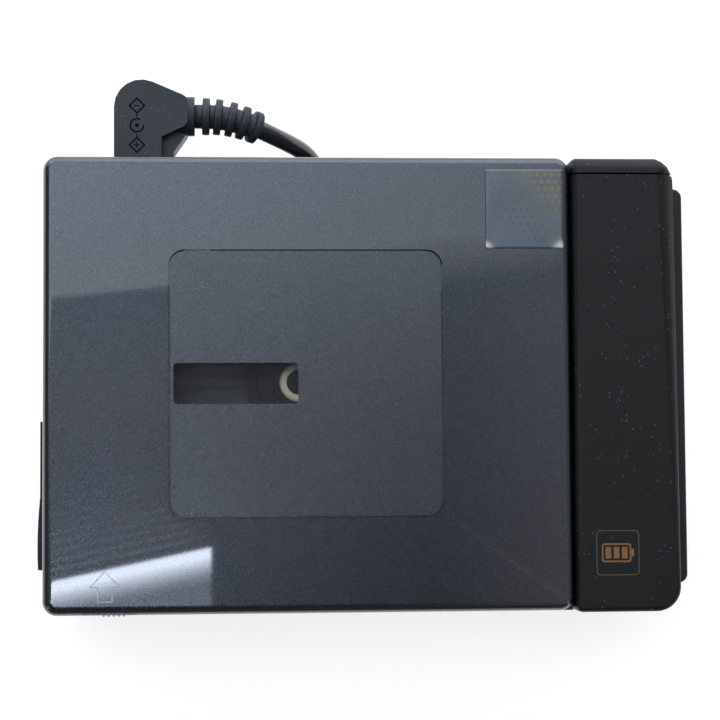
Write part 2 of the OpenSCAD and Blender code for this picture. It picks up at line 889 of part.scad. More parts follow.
module pickup_sled() {
    color(sled_grey)
        difference() {
            block([sled_x, spindle_y - sled_w / 2, sled_z],
                [sled_x + sled_l, spindle_y + sled_w / 2, sled_z + sled_h]);
            for (y = [rod_y, screw_y])
                rod([sled_x - over, y, rod_z], rod_r + fit, sled_l + 2 * over, "x");
            // Relief beside the motor
            block([sled_x - over, spindle_y - sled_notch_w / 2, sled_z - over],
                [sled_x + sled_notch, spindle_y + sled_notch_w / 2, sled_z + sled_h + over]);
        }
}

module objective_lens() {
    color(lens_blue)
        translate([sled_x + sled_l / 2, spindle_y, sled_z + sled_h]) {
            difference() {
                cylinder(r = lens_r + lens_frame, h = lens_h - lens_step);
                translate([0, 0, -over])
                    cylinder(r = lens_r - lens_step, h = lens_h + 2 * over);
            }
            cylinder(r = lens_r, h = lens_h);
        }
}

module guide_rod() {
    color(steel)
        rod([rod_x0, rod_y, rod_z], rod_r, rod_x1 - rod_x0, "x");
}

// Core with a raised thread land at every pitch
module lead_screw() {
    first = rod_x0 + tab_t + over;
    lands = floor((rod_x1 - tab_t - first - over) / thread_pitch);
    color(steel) {
        rod([rod_x0, screw_y, rod_z], rod_r - thread_deep, rod_x1 + drive_l - screw_end - rod_x0, "x");
        for (i = [0:lands - 1])
            rod([first + i * thread_pitch, screw_y, rod_z], rod_r, thread_w, "x");
    }
}

module sled_motor() {
    color(steel)
        difference() {
            rod([rod_x1, screw_y, rod_z], drive_r, drive_l, "x");
            rod([rod_x1 - over, screw_y, rod_z], rod_r - thread_deep + fit,
                drive_l - screw_end + over + 2 * fit, "x");
        }
}

module main_board() {
    holes = [for (x = [board_x0 + board_hole_in, board_x1 - board_hole_in],
        y = [-board_y + board_hole_in, board_y - board_hole_in]) [x, y]];
    color(board_green)
        difference() {
            block([board_x0, -board_y, board_z], [board_x1, board_y, board_top]);
            for (h = holes)
                rod([h[0], h[1], board_z - over], board_hole_r, board_t + 2 * over, "z");
        }
    // Standoffs that hold the board off the cover
    color(steel)
        for (h = holes)
            difference() {
                rod([h[0], h[1], pz + cover_t], standoff_r, board_up - cover_t, "z");
                rod([h[0], h[1], pz], board_hole_r, board_up + over, "z");
            }
}

module board_chips() {
    color(black) {
        for (c = chips)
            translate([board_x0 + c[0], c[1], board_top])
                cube([c[2], c[3], c[4]]);
        for (i = [0:can_n - 1])
            rod([board_x0 + can_in + i * can_pitch, can_y, board_top], can_r, can_h, "z");
    }
}

module key_board() {
    color(board_green)
        block([button_x0 - button_l, key_y, pz + cover_t],
            [button_x0 + (button_n - 1) * button_pitch + button_l, key_y + key_board_t, deck_z - gap]);
}

// One tact switch behind each button
module key_switches() {
    color(steel)
        for (i = [0:button_n - 1])
            block([button_at(i)[0] - key_switch_w / 2, key_y - key_switch_t, control_z - key_switch_h / 2],
                [button_at(i)[0] + key_switch_w / 2, key_y, control_z + key_switch_h / 2]);
}

// A push button in the front wall: cap, guide and the lip that keeps it in
module push_button(i) {
    x = button_l / 2;
    z = button_h / 2;
    y = wall + lip_gap;
    color(black)
        translate(button_at(i)) {
            block([-x, -proud, -z], [x, y + lip_gap, z]);
            block([-x - lip_over, y, -z - lip_over], [x + lip_over, y + lip_t, z + lip_over]);
            // Raised bar that a finger finds
            block([-x + bar_in, -proud - bar_t, -bar_half], [x - bar_in, -proud + eps, bar_half]);
        }
}

module play_button() {
    push_button(0);
}

module stop_button() {
    push_button(1);
}

module back_button() {
    push_button(2);
}

module forward_button() {
    push_button(3);
}

module volume_down_button() {
    push_button(4);
}

module volume_up_button() {
    push_button(5);
}

// A sliding control: thumb piece outside, stem through the wall, keeper inside.
// side is -1 on the front wall and 1 on the rear wall
module thumb_slider(at, size, stem, side, keeper, t) {
    y = wall + 2 * fit;
    translate(at)
        mirror([0, side > 0 ? 1 : 0, 0]) {
            block([-size[0] / 2, -proud, -size[1] / 2], [size[0] / 2, -fit, size[1] / 2]);
            for (i = [0:knurl_n - 1]) {
                x = (i - (knurl_n - 1) / 2) * knurl_pitch;
                block([x - knurl_w / 2, -proud - knurl_t, -size[1] / 2 + knurl_t],
                    [x + knurl_w / 2, -proud + eps, size[1] / 2 - knurl_t]);
            }
            block([-stem / 2, -fit - eps, -stem_h / 2], [stem / 2, y + eps, stem_h / 2]);
            block([keeper[0], y, -keeper_h / 2], [keeper[1], y + t, keeper_h / 2]);
        }
}

// The keeper's left end is the catch beside the lid's hook
module open_slider() {
    color(black)
        thumb_slider([open_x, y0, open_z], [open_l, open_h], open_stem, -1,
            [hook_x + hook_w + gap - open_x, catch_l], catch_t);
}

module hold_slider() {
    color(black)
        thumb_slider([hold_x, y0, control_z], [switch_l, switch_h], switch_stem, -1,
            [-keeper_l / 2, keeper_l / 2], keeper_t);
}

module tone_slider() {
    color(black)
        thumb_slider([tone_x, y1, control_z], [switch_l, switch_h], switch_stem, 1,
            [-keeper_l / 2, keeper_l / 2], keeper_t);
}

// A socket on the board, its nose flush with the rear wall
module jack(x, w, nose, bore) {
    color(black)
        difference() {
            union() {
                block([x - w / 2, y1 - wall - jack_l, board_top], [x + w / 2, y1 - wall, deck_z - gap]);
                rod([x, y1 - wall - eps, dc_z], nose, wall + eps, "y");
            }
            rod([x, y1 - jack_l, dc_z], bore, jack_l + over, "y");
        }
}

module phones_jack() {
    jack(phones_x, jack_w, nose_r, socket_r);
}

module line_jack() {
    jack(line_x, jack_w, nose_r, socket_r);
}

module dc_jack() {
    jack(dc_x, dc_jack_w, dc_nose_r, barrel_r + fit);
    color(steel)
        rod([dc_x, y1 - jack_l - eps, dc_z], dc_pin_r, dc_pin_l, "y");
}

// The grip with its cap, one rounded form, rounder along its upper rear edge
module grip_form() {
    h = player_h;
    c = [y1 - cap_round, top - cap_round];
    hull() {
        translate([grip_x + grip_in_r, grip_y0 + grip_in_r, pz])
            post(grip_in_r, h, grip_edge, grip_edge);
        translate([x1 - grip_r, grip_y0 + grip_r, pz])
            post(grip_r, h, grip_edge, grip_edge);
        translate([grip_x + grip_in_r, y1 - grip_in_r, pz])
            post(grip_in_r, h - cap_round, grip_edge, 0);
        translate([x1 - grip_r, y1 - grip_r, pz])
            post(grip_r, h - cap_round, grip_edge, 0);
        for (s = cap_steps)
            rod([grip_x + s[0], c[0], c[1]], s[2] * cap_round, grip_w - s[0] - s[1], "x");
    }
}

module grip_housing() {
    color(black)
        difference() {
            intersection() {
                grip_form();
                union() {
                    block([grip_x - over, grip_y0 - over, pz - over], [x1 + over, cap_y - gap, top + over]);
                    // Ears of the cap's hinge
                    for (x = cap_ears) {
                        rod([x, cap_axis_y, cap_axis_z], cap_knuckle_r, cap_ear_t, "x");
                        block([x, cap_y - gap - eps, cap_axis_z - cap_knuckle_r],
                            [x + cap_ear_t, cap_axis_y, cap_axis_z + cap_knuckle_r]);
                    }
                }
            }
            block([bay_x0, bay_y0, bay_z0], [bay_x1, cap_y, bay_z1]);
            for (x = cap_ears)
                rod([x - over, cap_axis_y, cap_axis_z], cap_pin_r + fit, cap_ear_t + 2 * over, "x");
        }
}

module battery_cap() {
    z = cap_axis_z + cap_knuckle_r + gap;
    color(black)
        difference() {
            intersection() {
                grip_form();
                union() {
                    block([grip_x - over, cap_y, z], [x1 + over, y1 + over, top + over]);
                    block([cap_x0, cap_y + cap_knuckle_r / 6, cap_axis_z], [cap_x1, y1, z + eps]);
                    rod([cap_x0, cap_axis_y, cap_axis_z], cap_knuckle_r, cap_x1 - cap_x0, "x");
                }
            }
            rod([grip_x, cap_axis_y, cap_axis_z], cap_pin_r + fit, grip_w, "x");
            // Shallow finger catch under the rounding
            block([grip_x + catch_in, y1 - catch_deep, top - cap_round - catch_drop],
                [x1 - catch_in, y1 + over, top - cap_round - catch_drop + catch_h]);
        }
}

module cap_pins() {
    color(steel)
        rod([cap_ears[0], cap_axis_y, cap_axis_z], cap_pin_r, cap_ears[1] + cap_ear_t - cap_ears[0], "x");
}

module battery_pack() {
    px0 = bay_x0 + pack_play;
    px1 = bay_x1 - pack_play;
    color(pack_blue) {
        block([px0, pack_y0, bay_z0 + pack_play], [px1, pack_y1, bay_z1 - pack_play]);
        for (z = terminals)
            block([px0 + terminal_side, pack_y0 - terminal_t, z],
                [px1 - terminal_side, pack_y0 + eps, z + terminal_h]);
    }
}

// Carrier with two sprung fingers at the front end of the bay
module battery_contacts() {
    tip_y = pack_y0 - terminal_t - 2 * fit;
    color(steel) {
        block([bay_x0 + over, bay_y0, bay_z0], [bay_x1 - over, carrier_y1, bay_z1]);
        for (z = terminals)
            block([bay_x0 + finger_in, carrier_y1 - eps, z + finger_trim],
                [bay_x1 - finger_in, tip_y, z + terminal_h - finger_trim]);
    }
}

module case_shell() {
    ears_y = [latch_y0 - gap - latch_ear_t, latch_y1 + gap];
    color(black)
        difference() {
            union() {
                slab([case_x0, case_y0, 0], [case_x1, case_y1, case_h], case_r, case_r, case_edge, 0);
                // Cheek along the grip and fence along the player's left side
                slab([x1 + case_play, case_y0, case_h / 2], [case_x1, case_y1, cheek_h],
                    cheek_edge, cheek_t / 2 - fit, 0, cheek_edge);
                block([case_x0, latch_y1 + latch_ear_t + gap, case_h - over],
                    [case_x0 + fence_t, case_y1 - case_r, fence_h]);
                // Ears of the latch's hinge
                for (y = ears_y) {
                    rod([latch_axis_x, y, latch_axis_z], latch_ear_r, latch_ear_t, "y");
                    block([latch_axis_x, y, latch_axis_z - latch_ear_r],
                        [x0, y + latch_ear_t, latch_axis_z + latch_ear_r]);
                }
            }
            // Bay for the cells, and the door's grooves and way out at the front
            block([-cells_half, -cells_y, -over], [cells_half, cells_y, case_h - case_wall]);
            block([-door_half - fit, case_y0 - over, tongue_z - fit],
                [door_half + fit, door_y1 + fit, door_t + fit]);
            block([-door_half + rail, case_y0 - over, -over], [door_half - rail, door_y1 - rail, tongue_z]);
            // Seat of the latch
            block([case_x0 - over, latch_y0 - gap, latch_low - gap],
                [x0 + fence_play, latch_y1 + gap, case_h + over]);
            rod([latch_axis_x, ears_y[0], latch_axis_z], latch_pin_r + fit,
                ears_y[1] + latch_ear_t - ears_y[0], "y");
            // Hole of the lead's gland
            rod([gland_at[0], case_y1 - gland_l - gap / 3, gland_at[2]], gland_neck_r + fit,
                gland_l + over, "y");
        }
}

module case_door() {
    y = case_y0 + door_back;
    color(black)
        difference() {
            union() {
                // Tongues that run in the case's grooves, over the plate that lies flush
                block([-door_half, y, tongue_z], [door_half, door_y1, door_t]);
                block([-door_half + rail + fit, y, 0],
                    [door_half - rail - fit, door_y1 - rail - fit, door_t]);
            }
            // Grip grooves for a thumb
            for (i = [0:thumb_n - 1])
                block([-thumb_w / 2, y + thumb_in + i * thumb_pitch, -over],
                    [thumb_w / 2, y + thumb_in + (i + 0.5) * thumb_pitch, thumb_deep]);
        }
}

module case_latch() {
    color(black)
        difference() {
            union() {
                block([latch_x - latch_t, latch_y0, latch_low], [latch_x, latch_y1, latch_h]);
                // Bowed grip along the upper edge
                intersection() {
                    block([latch_x - latch_t - over, latch_y0, latch_h - bow_h - over],
                        [latch_x, latch_y1, latch_h - over]);
                    translate([latch_x - latch_t - bow_out + bow_r, latch_y0 + bow_in,
                        latch_h - bow_h - over])
                        cylinder(r = bow_r, h = bow_h, $fn = 200);
                }
            }
            rod([latch_axis_x, latch_y0 - over, latch_axis_z], latch_pin_r + fit, latch_l + 2 * over, "y");
        }
}

module latch_pins() {
    y = latch_y0 - gap - latch_ear_t + fit;
    color(steel)
        rod([latch_axis_x, y, latch_axis_z], latch_pin_r, latch_y1 + gap + latch_ear_t - fit - y, "y");
}

module dry_cells() {
    for (i = [0:cell_n - 1])
        translate([(i - (cell_n - 1) / 2) * cell_pitch, 0, cell_z])
            rotate([i % 2 == 0 ? -90 : 90, 0, 0])
                translate([0, 0, -cell_l / 2]) {
                    color(cell_gold)
                        cylinder(r = cell_r, h = cell_l - cell_cap_l);
                    color(steel)
                        cylinder(r = cell_cap_r, h = cell_l);
                }
}

// A plate with a sprung dome at each end of every cell
module cell_contacts() {
    color(steel)
        for (i = [0:cell_n - 1], s = [-1, 1]) {
            x = (i - (cell_n - 1) / 2) * cell_pitch;
            y = s * (cells_y - contact_t / 2);
            block([x - contact_half, y - contact_t / 2, cell_z - contact_half],
                [x + contact_half, y + contact_t / 2, cell_z + contact_half]);
            rod([x, s > 0 ? cell_l / 2 + 2 * fit : contact_t - cells_y - eps, cell_z],
                contact_r, contact_l - contact_t - 2 * fit + eps, "y");
        }
}

module lead_gland() {
    color(black) {
        rod([gland_at[0], case_y1 - gland_l, gland_at[2]], gland_neck_r, gland_l + eps, "y");
        rod([gland_at[0], case_y1, gland_at[2]], gland_r, gland_at[1] - case_y1, "y");
    }
}

// A tube of n sides swept along a list of points
function unit(v) = v / norm(v);
function way(p, i) = unit(p[min(i + 1, len(p) - 1)] - p[max(i - 1, 0)]);
function ring_points(p, i, r, n) =
    let (
        d = i == 0 ? [0, 1, 0] : i == len(p) - 1 ? [-1, 0, 0] : way(p, i),
        side = unit(cross(d, [0, 0.2, 1])),
        up = cross(side, d)
    )
    [for (k = [0:n - 1]) p[i] + r * (cos(360 * k / n) * side + sin(360 * k / n) * up)];

module tube(p, r, n) {
    m = len(p);
    rings = [for (i = [0:m - 1]) each ring_points(p, i, r, n)];
    sides = [for (i = [0:m - 2], k = [0:n - 1]) each [
        [i * n + k, (i + 1) * n + (k + 1) % n, i * n + (k + 1) % n],
        [i * n + k, (i + 1) * n + k, (i + 1) * n + (k + 1) % n]
    ]];
    first = [for (k = [1:n - 2]) [0, k, k + 1]];
    last = [for (k = [1:n - 2]) [(m - 1) * n, (m - 1) * n + k + 1, (m - 1) * n + k]];
    polyhedron(points = rings, faces = concat(sides, first, last));
}

module dc_lead() {
    color(black)
        tube(lead_route, lead_d / 2, lead_sides);
}

// Plan of the plug: the stem's right side is at x = side up to the corner at y = step,
// and the arm runs from y = low to y = high
function plug_outline(side, step, low, high) =
    let (
        s = plug_small_r,
        c = plug_corner_r,
        heel = [plug_x0 + plug_r, plug_y1 - plug_r],
        tip = [arm_x1 - c, high - c],
        d = tip - heel,
        lean = atan2(d[1], d[0]) + acos((plug_r - c) / norm(d)),
        slope = atan2(low - step, arm_x1 - side) - 90
    )
    concat(
        arc([plug_x0 + s, plug_y0 + s], s, 180, 270),
        arc([side - s, plug_y0 + s], s, 270, 360),
        [[side, step]],
        arc([arm_x1 - s, low + s], s, slope, 0),
        arc(tip, c, 0, lean),
        arc(heel, plug_r, lean, 180)
    );

module plug_body() {
    low_x = plug_x1 + shoulder_x;
    color(plug_grey)
        difference() {
            union() {
                // The fuller lower half with its shoulder, and the upper half on it
                translate([0, 0, plug_z0])
                    linear_extrude(shoulder_z - plug_z0)
                        polygon(plug_outline(low_x, y1 + shoulder_y, arm_y - arm_half, arm_y + arm_half));
                translate([0, 0, shoulder_z - eps])
                    linear_extrude(plug_z1 - shoulder_z + eps)
                        polygon(plug_outline(plug_x1, arm_y - arm_half - arm_slope, arm_y - arm_low,
                            arm_y + arm_half - arm_slope));
                rod([arm_x1 - plug_seat, arm_y, dc_z], collar_r, collar_t + plug_seat, "x");
                rod([dc_x, y1 + eps, dc_z], dc_nose_r, plug_seat + over, "y");
            }
            rod([dc_x, y1 - over, dc_z], barrel_r + fit, over + tip_in, "y");
        }
}

// Ribs and core along the lead's own middle line, with the lead inside
module plug_boot() {
    last = len(lead_route) - 1;
    color(plug_grey)
        difference() {
            union() {
                for (i = [0:rib_n - 1]) {
                    at = lead_route[last - 1 - i];
                    d = way(lead_route, last - 1 - i);
                    translate(at)
                        rotate([0, acos(d[2]), atan2(d[1], d[0])])
                            translate([0, 0, -rib_t / 2])
                                cylinder(r = rib_r - rib_taper * i, h = rib_t);
                }
                for (i = [0:rib_n - 1]) {
                    at = lead_route[last - i];
                    to = lead_route[last - 1 - i];
                    d = unit(to - at);
                    translate(at)
                        rotate([0, acos(d[2]), atan2(d[1], d[0])])
                            cylinder(r = core_r, h = norm(to - at) + gap);
                }
            }
            block([collar_x1 - plug_w, y1, pz], [collar_x1 + eps, y1 + plug_l, top]);
        }
}

module plug_tip() {
    color(steel)
        difference() {
            rod([dc_x, y1 - jack_l + tip_back, dc_z], barrel_r, jack_l - tip_back + tip_in, "y");
            rod([dc_x, y1 - jack_l, dc_z], tip_bore_r, tip_bore_l, "y");
        }
}

lid_shell();
window_panel();
window_pane();
disc_holder();
holder_springs();
lid_hook();
main_case();
front_panel();
bottom_cover();
cover_screws();
hinge_pins();
lid_spring();
deck_plate();
deck_dampers();
spindle_motor();
turntable();
centring_ring();
pickup_sled();
objective_lens();
guide_rod();
lead_screw();
sled_motor();
main_board();
board_chips();
key_board();
key_switches();
play_button();
stop_button();
back_button();
forward_button();
volume_down_button();
volume_up_button();
open_slider();
hold_slider();
tone_slider();
phones_jack();
line_jack();
dc_jack();
grip_housing();
battery_cap();
cap_pins();
battery_pack();
battery_contacts();
case_shell();
case_door();
case_latch();
latch_pins();
dry_cells();
cell_contacts();
lead_gland();
dc_lead();
plug_body();
plug_boot();
plug_tip();
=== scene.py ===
import math

import bmesh
import bpy
from mathutils import Matrix, Vector


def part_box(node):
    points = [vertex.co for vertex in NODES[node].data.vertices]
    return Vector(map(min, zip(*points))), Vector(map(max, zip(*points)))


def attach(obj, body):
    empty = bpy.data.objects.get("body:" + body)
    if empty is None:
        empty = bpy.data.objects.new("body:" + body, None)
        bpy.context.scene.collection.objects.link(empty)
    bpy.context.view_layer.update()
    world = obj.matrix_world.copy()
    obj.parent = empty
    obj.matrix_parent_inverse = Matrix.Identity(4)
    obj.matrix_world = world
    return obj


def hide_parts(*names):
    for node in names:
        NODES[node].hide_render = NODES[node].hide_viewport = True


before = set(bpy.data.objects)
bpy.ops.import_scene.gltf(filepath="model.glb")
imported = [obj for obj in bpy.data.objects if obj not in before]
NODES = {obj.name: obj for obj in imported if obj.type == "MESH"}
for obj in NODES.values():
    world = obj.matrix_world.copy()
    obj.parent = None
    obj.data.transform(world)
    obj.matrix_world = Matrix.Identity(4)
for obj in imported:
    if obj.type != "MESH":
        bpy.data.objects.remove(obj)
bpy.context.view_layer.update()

MM = 0.001


SCENE = bpy.context.scene


def link(obj):
    SCENE.collection.objects.link(obj)
    return obj


# Camera: straight above, a little to the front left, at the photograph's distance
LENS = 100
SENSOR = 36
EYE = Vector((-23.26, -16.96, 391.10)) * MM
TILT = (0.0607829, -0.0648517, -0.00718859)
cam_data = bpy.data.cameras.new("camera")
cam_data.lens = LENS
cam_data.sensor_width = SENSOR
cam_data.clip_start = 0.01
cam = link(bpy.data.objects.new("camera", cam_data))
turn = Matrix.Rotation(TILT[2], 4, "Z") @ Matrix.Rotation(TILT[1], 4, "Y") @ Matrix.Rotation(TILT[0], 4, "X")
cam.matrix_world = Matrix.Translation(EYE) @ turn
SCENE.camera = cam
SCENE.view_settings.view_transform = "Standard"

# The lead's middle line, from the gland to the plug's collar, as in part.scad
LEAD_D = 3.4
ROUTE = [
    (-5.6, 37.2, 11.6), (-5.7, 38.7, 11.8), (-6.0, 40.2, 12.3), (-6.5, 41.7, 13.2),
    (-7.3, 43.2, 14.5), (-8.5, 44.4, 16.0), (-10.0, 45.3, 17.8), (-11.6, 45.9, 19.6),
    (-13.2, 46.4, 21.3), (-14.8, 46.9, 22.8), (-16.6, 47.5, 24.2), (-18.5, 48.2, 25.2),
    (-20.6, 48.9, 25.7), (-22.8, 49.5, 25.9), (-25.2, 49.9, 26.0), (-27.4, 50.0, 26.0),
    (-29.5, 50.0, 26.0),
]


def smooth_path(points, steps):
    """Catmull-Rom points through the given ones."""
    p = [Vector(q) for q in points]
    p = [2 * p[0] - p[1]] + p + [2 * p[-1] - p[-2]]
    out = []
    for i in range(1, len(p) - 2):
        for k in range(steps):
            t = k / steps
            a, b, c, d = p[i - 1], p[i], p[i + 1], p[i + 2]
            out.append(0.5 * (2 * b + (c - a) * t + (2 * a - 5 * b + 4 * c - d) * t ** 2
                              + (3 * b - a - 3 * c + d) * t ** 3))
    out.append(p[-2])
    return out


def wire(name, points, radius):
    """A round curve through points in millimetres. Its points carry the radius, so its box is true."""
    data = bpy.data.curves.new(name, "CURVE")
    data.dimensions = "3D"
    data.bevel_depth = 1
    data.bevel_resolution = 10
    data.use_fill_caps = True
    spline = data.splines.new("POLY")
    spline.points.add(len(points) - 1)
    for s, q in zip(spline.points, points):
        s.co = (q[0] * MM, q[1] * MM, q[2] * MM, 1)
        s.radius = radius * MM
    spline.use_smooth = True
    return link(bpy.data.objects.new(name, data))


LEAD_LINE = smooth_path(ROUTE, 3)
lead = wire("lead", LEAD_LINE, LEAD_D / 2)
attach(lead, "chassis")
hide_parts("dc_lead")


# ---- materials
def lin(r, g, b):
    """An sRGB colour from 0 to 255 as linear RGBA."""
    out = []
    for v in (r, g, b):
        v /= 255
        out.append(v / 12.92 if v <= 0.04045 else ((v + 0.055) / 1.055) ** 2.4)
    return (*out, 1)


class Mat:
    """A node material with a Principled shader and a few short calls to build its detail."""

    def __init__(self, name, **sockets):
        self.m = bpy.data.materials.new(name)
        self.m.use_nodes = True
        self.t = self.m.node_tree
        self.shader = next(n for n in self.t.nodes if n.type == "BSDF_PRINCIPLED")
        self.bumps = None
        self.co = self.t.nodes.new("ShaderNodeTexCoord").outputs["Object"]
        for key, value in sockets.items():
            self.shader.inputs[key.replace("_", " ")].default_value = value

    def node(self, kind, inputs=None, **props):
        n = self.t.nodes.new(kind)
        for key, value in props.items():
            setattr(n, key, value)
        for key, value in (inputs or {}).items():
            if isinstance(value, bpy.types.NodeSocket):
                self.t.links.new(value, n.inputs[key])
            else:
                n.inputs[key].default_value = value
        return n

    def noise(self, scale, detail=2, rough=0.5, stretch=None):
        co = self.co
        if stretch:
            co = self.node("ShaderNodeMapping", {"Vector": co, "Scale": stretch}).outputs[0]
        return self.node("ShaderNodeTexNoise", {"Vector": co, "Scale": scale, "Detail": detail,
                                                "Roughness": rough}).outputs["Fac"]

    def ramp(self, fac, low, high, to_low=0.0, to_high=1.0, kind="LINEAR"):
        return self.node("ShaderNodeMapRange", {"Value": fac, "From Min": low, "From Max": high,
                                                "To Min": to_low, "To Max": to_high},
                         interpolation_type=kind).outputs[0]

    def mix(self, fac, a, b):
        n = self.node("ShaderNodeMix", data_type="RGBA")
        for key, value in ((0, fac), (6, a), (7, b)):
            if isinstance(value, bpy.types.NodeSocket):
                self.t.links.new(value, n.inputs[key])
            else:
                n.inputs[key].default_value = value
        return n.outputs[2]

    def math(self, op, a, b=0.0):
        n = self.node("ShaderNodeMath", operation=op)
        for i, value in enumerate((a, b)):
            if isinstance(value, bpy.types.NodeSocket):
                self.t.links.new(value, n.inputs[i])
            else:
                n.inputs[i].default_value = value
        return n.outputs[0]

    def out(self, socket, value):
        self.t.links.new(value, self.shader.inputs[socket])

    def bump(self, height, distance, strength=1.0):
        """Adds a bump of that height in millimetres."""
        ins = {"Height": height, "Distance": distance * MM, "Strength": strength}
        if self.bumps:
            ins["Normal"] = self.bumps
        self.bumps = self.node("ShaderNodeBump", ins).outputs[0]
        self.out("Normal", self.bumps)


# Share of the flakes' own colour in the paint
FLAKES = 0.35


def speckled(mat, base, light, dark, size):
    """Fine metallic speckle: light and dark flakes over a base colour."""
    flake = mat.noise(1 / (size * MM), detail=1)
    drift = mat.noise(60, detail=3)
    c = mat.mix(mat.ramp(flake, 0.5, 0.72, 0, FLAKES), base, light)
    c = mat.mix(mat.ramp(flake, 0.5, 0.3, 0, FLAKES), c, dark)
    return mat.mix(mat.ramp(drift, 0.35, 0.7, 0, 0.12), c, dark)


def paint(name, coat_rough):
    """Dark blue-grey metallic paint: fine flakes under a clear coat of that roughness."""
    m = Mat(name, Metallic=0.93, Coat_Weight=1.0, Coat_Roughness=coat_rough, Coat_IOR=1.5)
    m.out("Base Color", speckled(m, lin(65, 70, 78), lin(92, 98, 108), lin(43, 47, 54), 0.24))
    m.out("Roughness", m.ramp(m.noise(1 / (0.3 * MM)), 0.3, 0.7, 0.24, 0.33))
    return m


def lid_paint():
    m = paint("lid_metal", 0.02)
    # The clear coat has a little orange peel
    m.bump(m.noise(300, detail=1), 0.0006, 0.5)
    return m.m


def panel_paint():
    m = paint("panel_metal", 0.27)
    m.bump(m.noise(2600, detail=2), 0.004, 0.5)
    return m.m


def moulded(name, colour, rough=0.5, grain=0.25, depth=0.006, dust=0.0, spec=0.5):
    """Moulded plastic with spark-eroded grain, handling wear and, if asked, dust."""
    m = Mat(name)
    m.shader.inputs["Specular IOR Level"].default_value = spec
    dark = tuple(v * 0.7 for v in colour[:3]) + (1,)
    light = tuple(min(1, v * 1.35) for v in colour[:3]) + (1,)
    fine = m.noise(1 / (grain * MM), detail=3, rough=0.6)
    c = m.mix(m.ramp(fine, 0.35, 0.65), dark, light)
    c = m.mix(m.ramp(m.noise(45, detail=3), 0.4, 0.7, 0, 0.25), c, dark)
    if dust:
        specks = m.node("ShaderNodeTexVoronoi", {"Vector": m.co, "Scale": 1300.0}).outputs["Distance"]
        thin = m.noise(320, detail=0)
        hit = m.math("MULTIPLY", m.ramp(specks, 0.16, 0.08), m.ramp(thin, 0.5, 0.62))
        c = m.mix(m.math("MULTIPLY", hit, dust), c, lin(150, 155, 160))
    m.out("Base Color", c)
    m.out("Roughness", m.ramp(m.noise(90, detail=4), 0.3, 0.7, rough - 0.08, rough + 0.08))
    m.bump(fine, depth, 0.8)
    return m.m


def metal(name, colour, rough=0.3, brush=None, depth=0.003):
    """Bare metal with a brushed or tumbled finish."""
    m = Mat(name, Metallic=1.0)
    dark = tuple(v * 0.78 for v in colour[:3]) + (1,)
    scratch = m.noise(900, detail=3, rough=0.65, stretch=brush or (1, 1, 1))
    c = m.mix(m.ramp(scratch, 0.35, 0.65), dark, colour)
    c = m.mix(m.ramp(m.noise(70, detail=3), 0.45, 0.75, 0, 0.3), c, dark)
    m.out("Base Color", c)
    m.out("Roughness", m.ramp(scratch, 0.3, 0.7, rough - 0.06, rough + 0.12))
    m.bump(scratch, depth, 0.6)
    return m.m


def rubber(name, colour, rough=0.2):
    m = Mat(name, Coat_Weight=0.9, Coat_Roughness=0.08)
    dark = tuple(v * 0.7 for v in colour[:3]) + (1,)
    c = m.mix(m.ramp(m.noise(500, detail=3), 0.4, 0.65), dark, colour)
    m.out("Base Color", c)
    m.out("Roughness", m.ramp(m.noise(160, detail=3), 0.3, 0.7, rough - 0.05, rough + 0.1))
    m.bump(m.noise(1800, detail=2), 0.004, 0.5)
    return m.m


def pane():
    """Clear moulded pane, a little hazy, with hairline scratches."""
    m = Mat("window_clear", Alpha=0.1, Roughness=0.05, Coat_Weight=1.0, Coat_Roughness=0.03)
    hair = m.noise(260, detail=4, rough=0.7, stretch=(0.12, 3, 1))
    m.out("Base Color", m.mix(m.ramp(hair, 0.5, 0.7, 0, 0.6), lin(48, 54, 58), lin(110, 116, 120)))
    m.bump(hair, 0.002, 0.3)
    m.m.blend_method = "BLEND"
    return m.m


def board():
    m = Mat("board_laminate", Roughness=0.35, Coat_Weight=0.5, Coat_Roughness=0.2)
    lines = m.node("ShaderNodeTexBrick", {"Vector": m.co, "Scale": 420.0, "Mortar Size": 0.09,
                                          "Color1": lin(24, 78, 52), "Color2": lin(30, 92, 60),
                                          "Mortar": lin(46, 118, 74)}, offset=0.4)
    c = m.mix(m.ramp(m.noise(300, detail=2), 0.4, 0.6, 0, 0.4), lines.outputs["Color"], lin(20, 62, 44))
    m.out("Base Color", c)
    m.bump(lines.outputs["Fac"], 0.02, 0.4)
    return m.m


def jacket():
    """Printed sleeve of a dry cell: plain dark sleeve with a copper-coloured band."""
    m = Mat("cell_jacket", Metallic=0.6, Roughness=0.32, Coat_Weight=0.6, Coat_Roughness=0.15)
    y = m.node("ShaderNodeSeparateXYZ", {"Vector": m.co}).outputs["Y"]
    band = m.math("COMPARE", y, 0.016)
    band.node.inputs[2].default_value = 0.008
    c = m.mix(band, lin(34, 38, 44), lin(176, 118, 66))
    c = m.mix(m.ramp(m.noise(200, detail=3), 0.45, 0.7, 0, 0.3), c, lin(20, 22, 26))
    m.out("Base Color", c)
    m.bump(m.noise(400, detail=2), 0.004, 0.4)
    return m.m


def lens_glass():
    m = Mat("lens_glass", Roughness=0.05, Coat_Weight=1.0, Coat_Tint=lin(150, 170, 255))
    tint = m.node("ShaderNodeLayerWeight", {"Blend": 0.4}).outputs["Facing"]
    m.out("Base Color", m.mix(tint, lin(18, 26, 70), lin(90, 60, 130)))
    return m.m


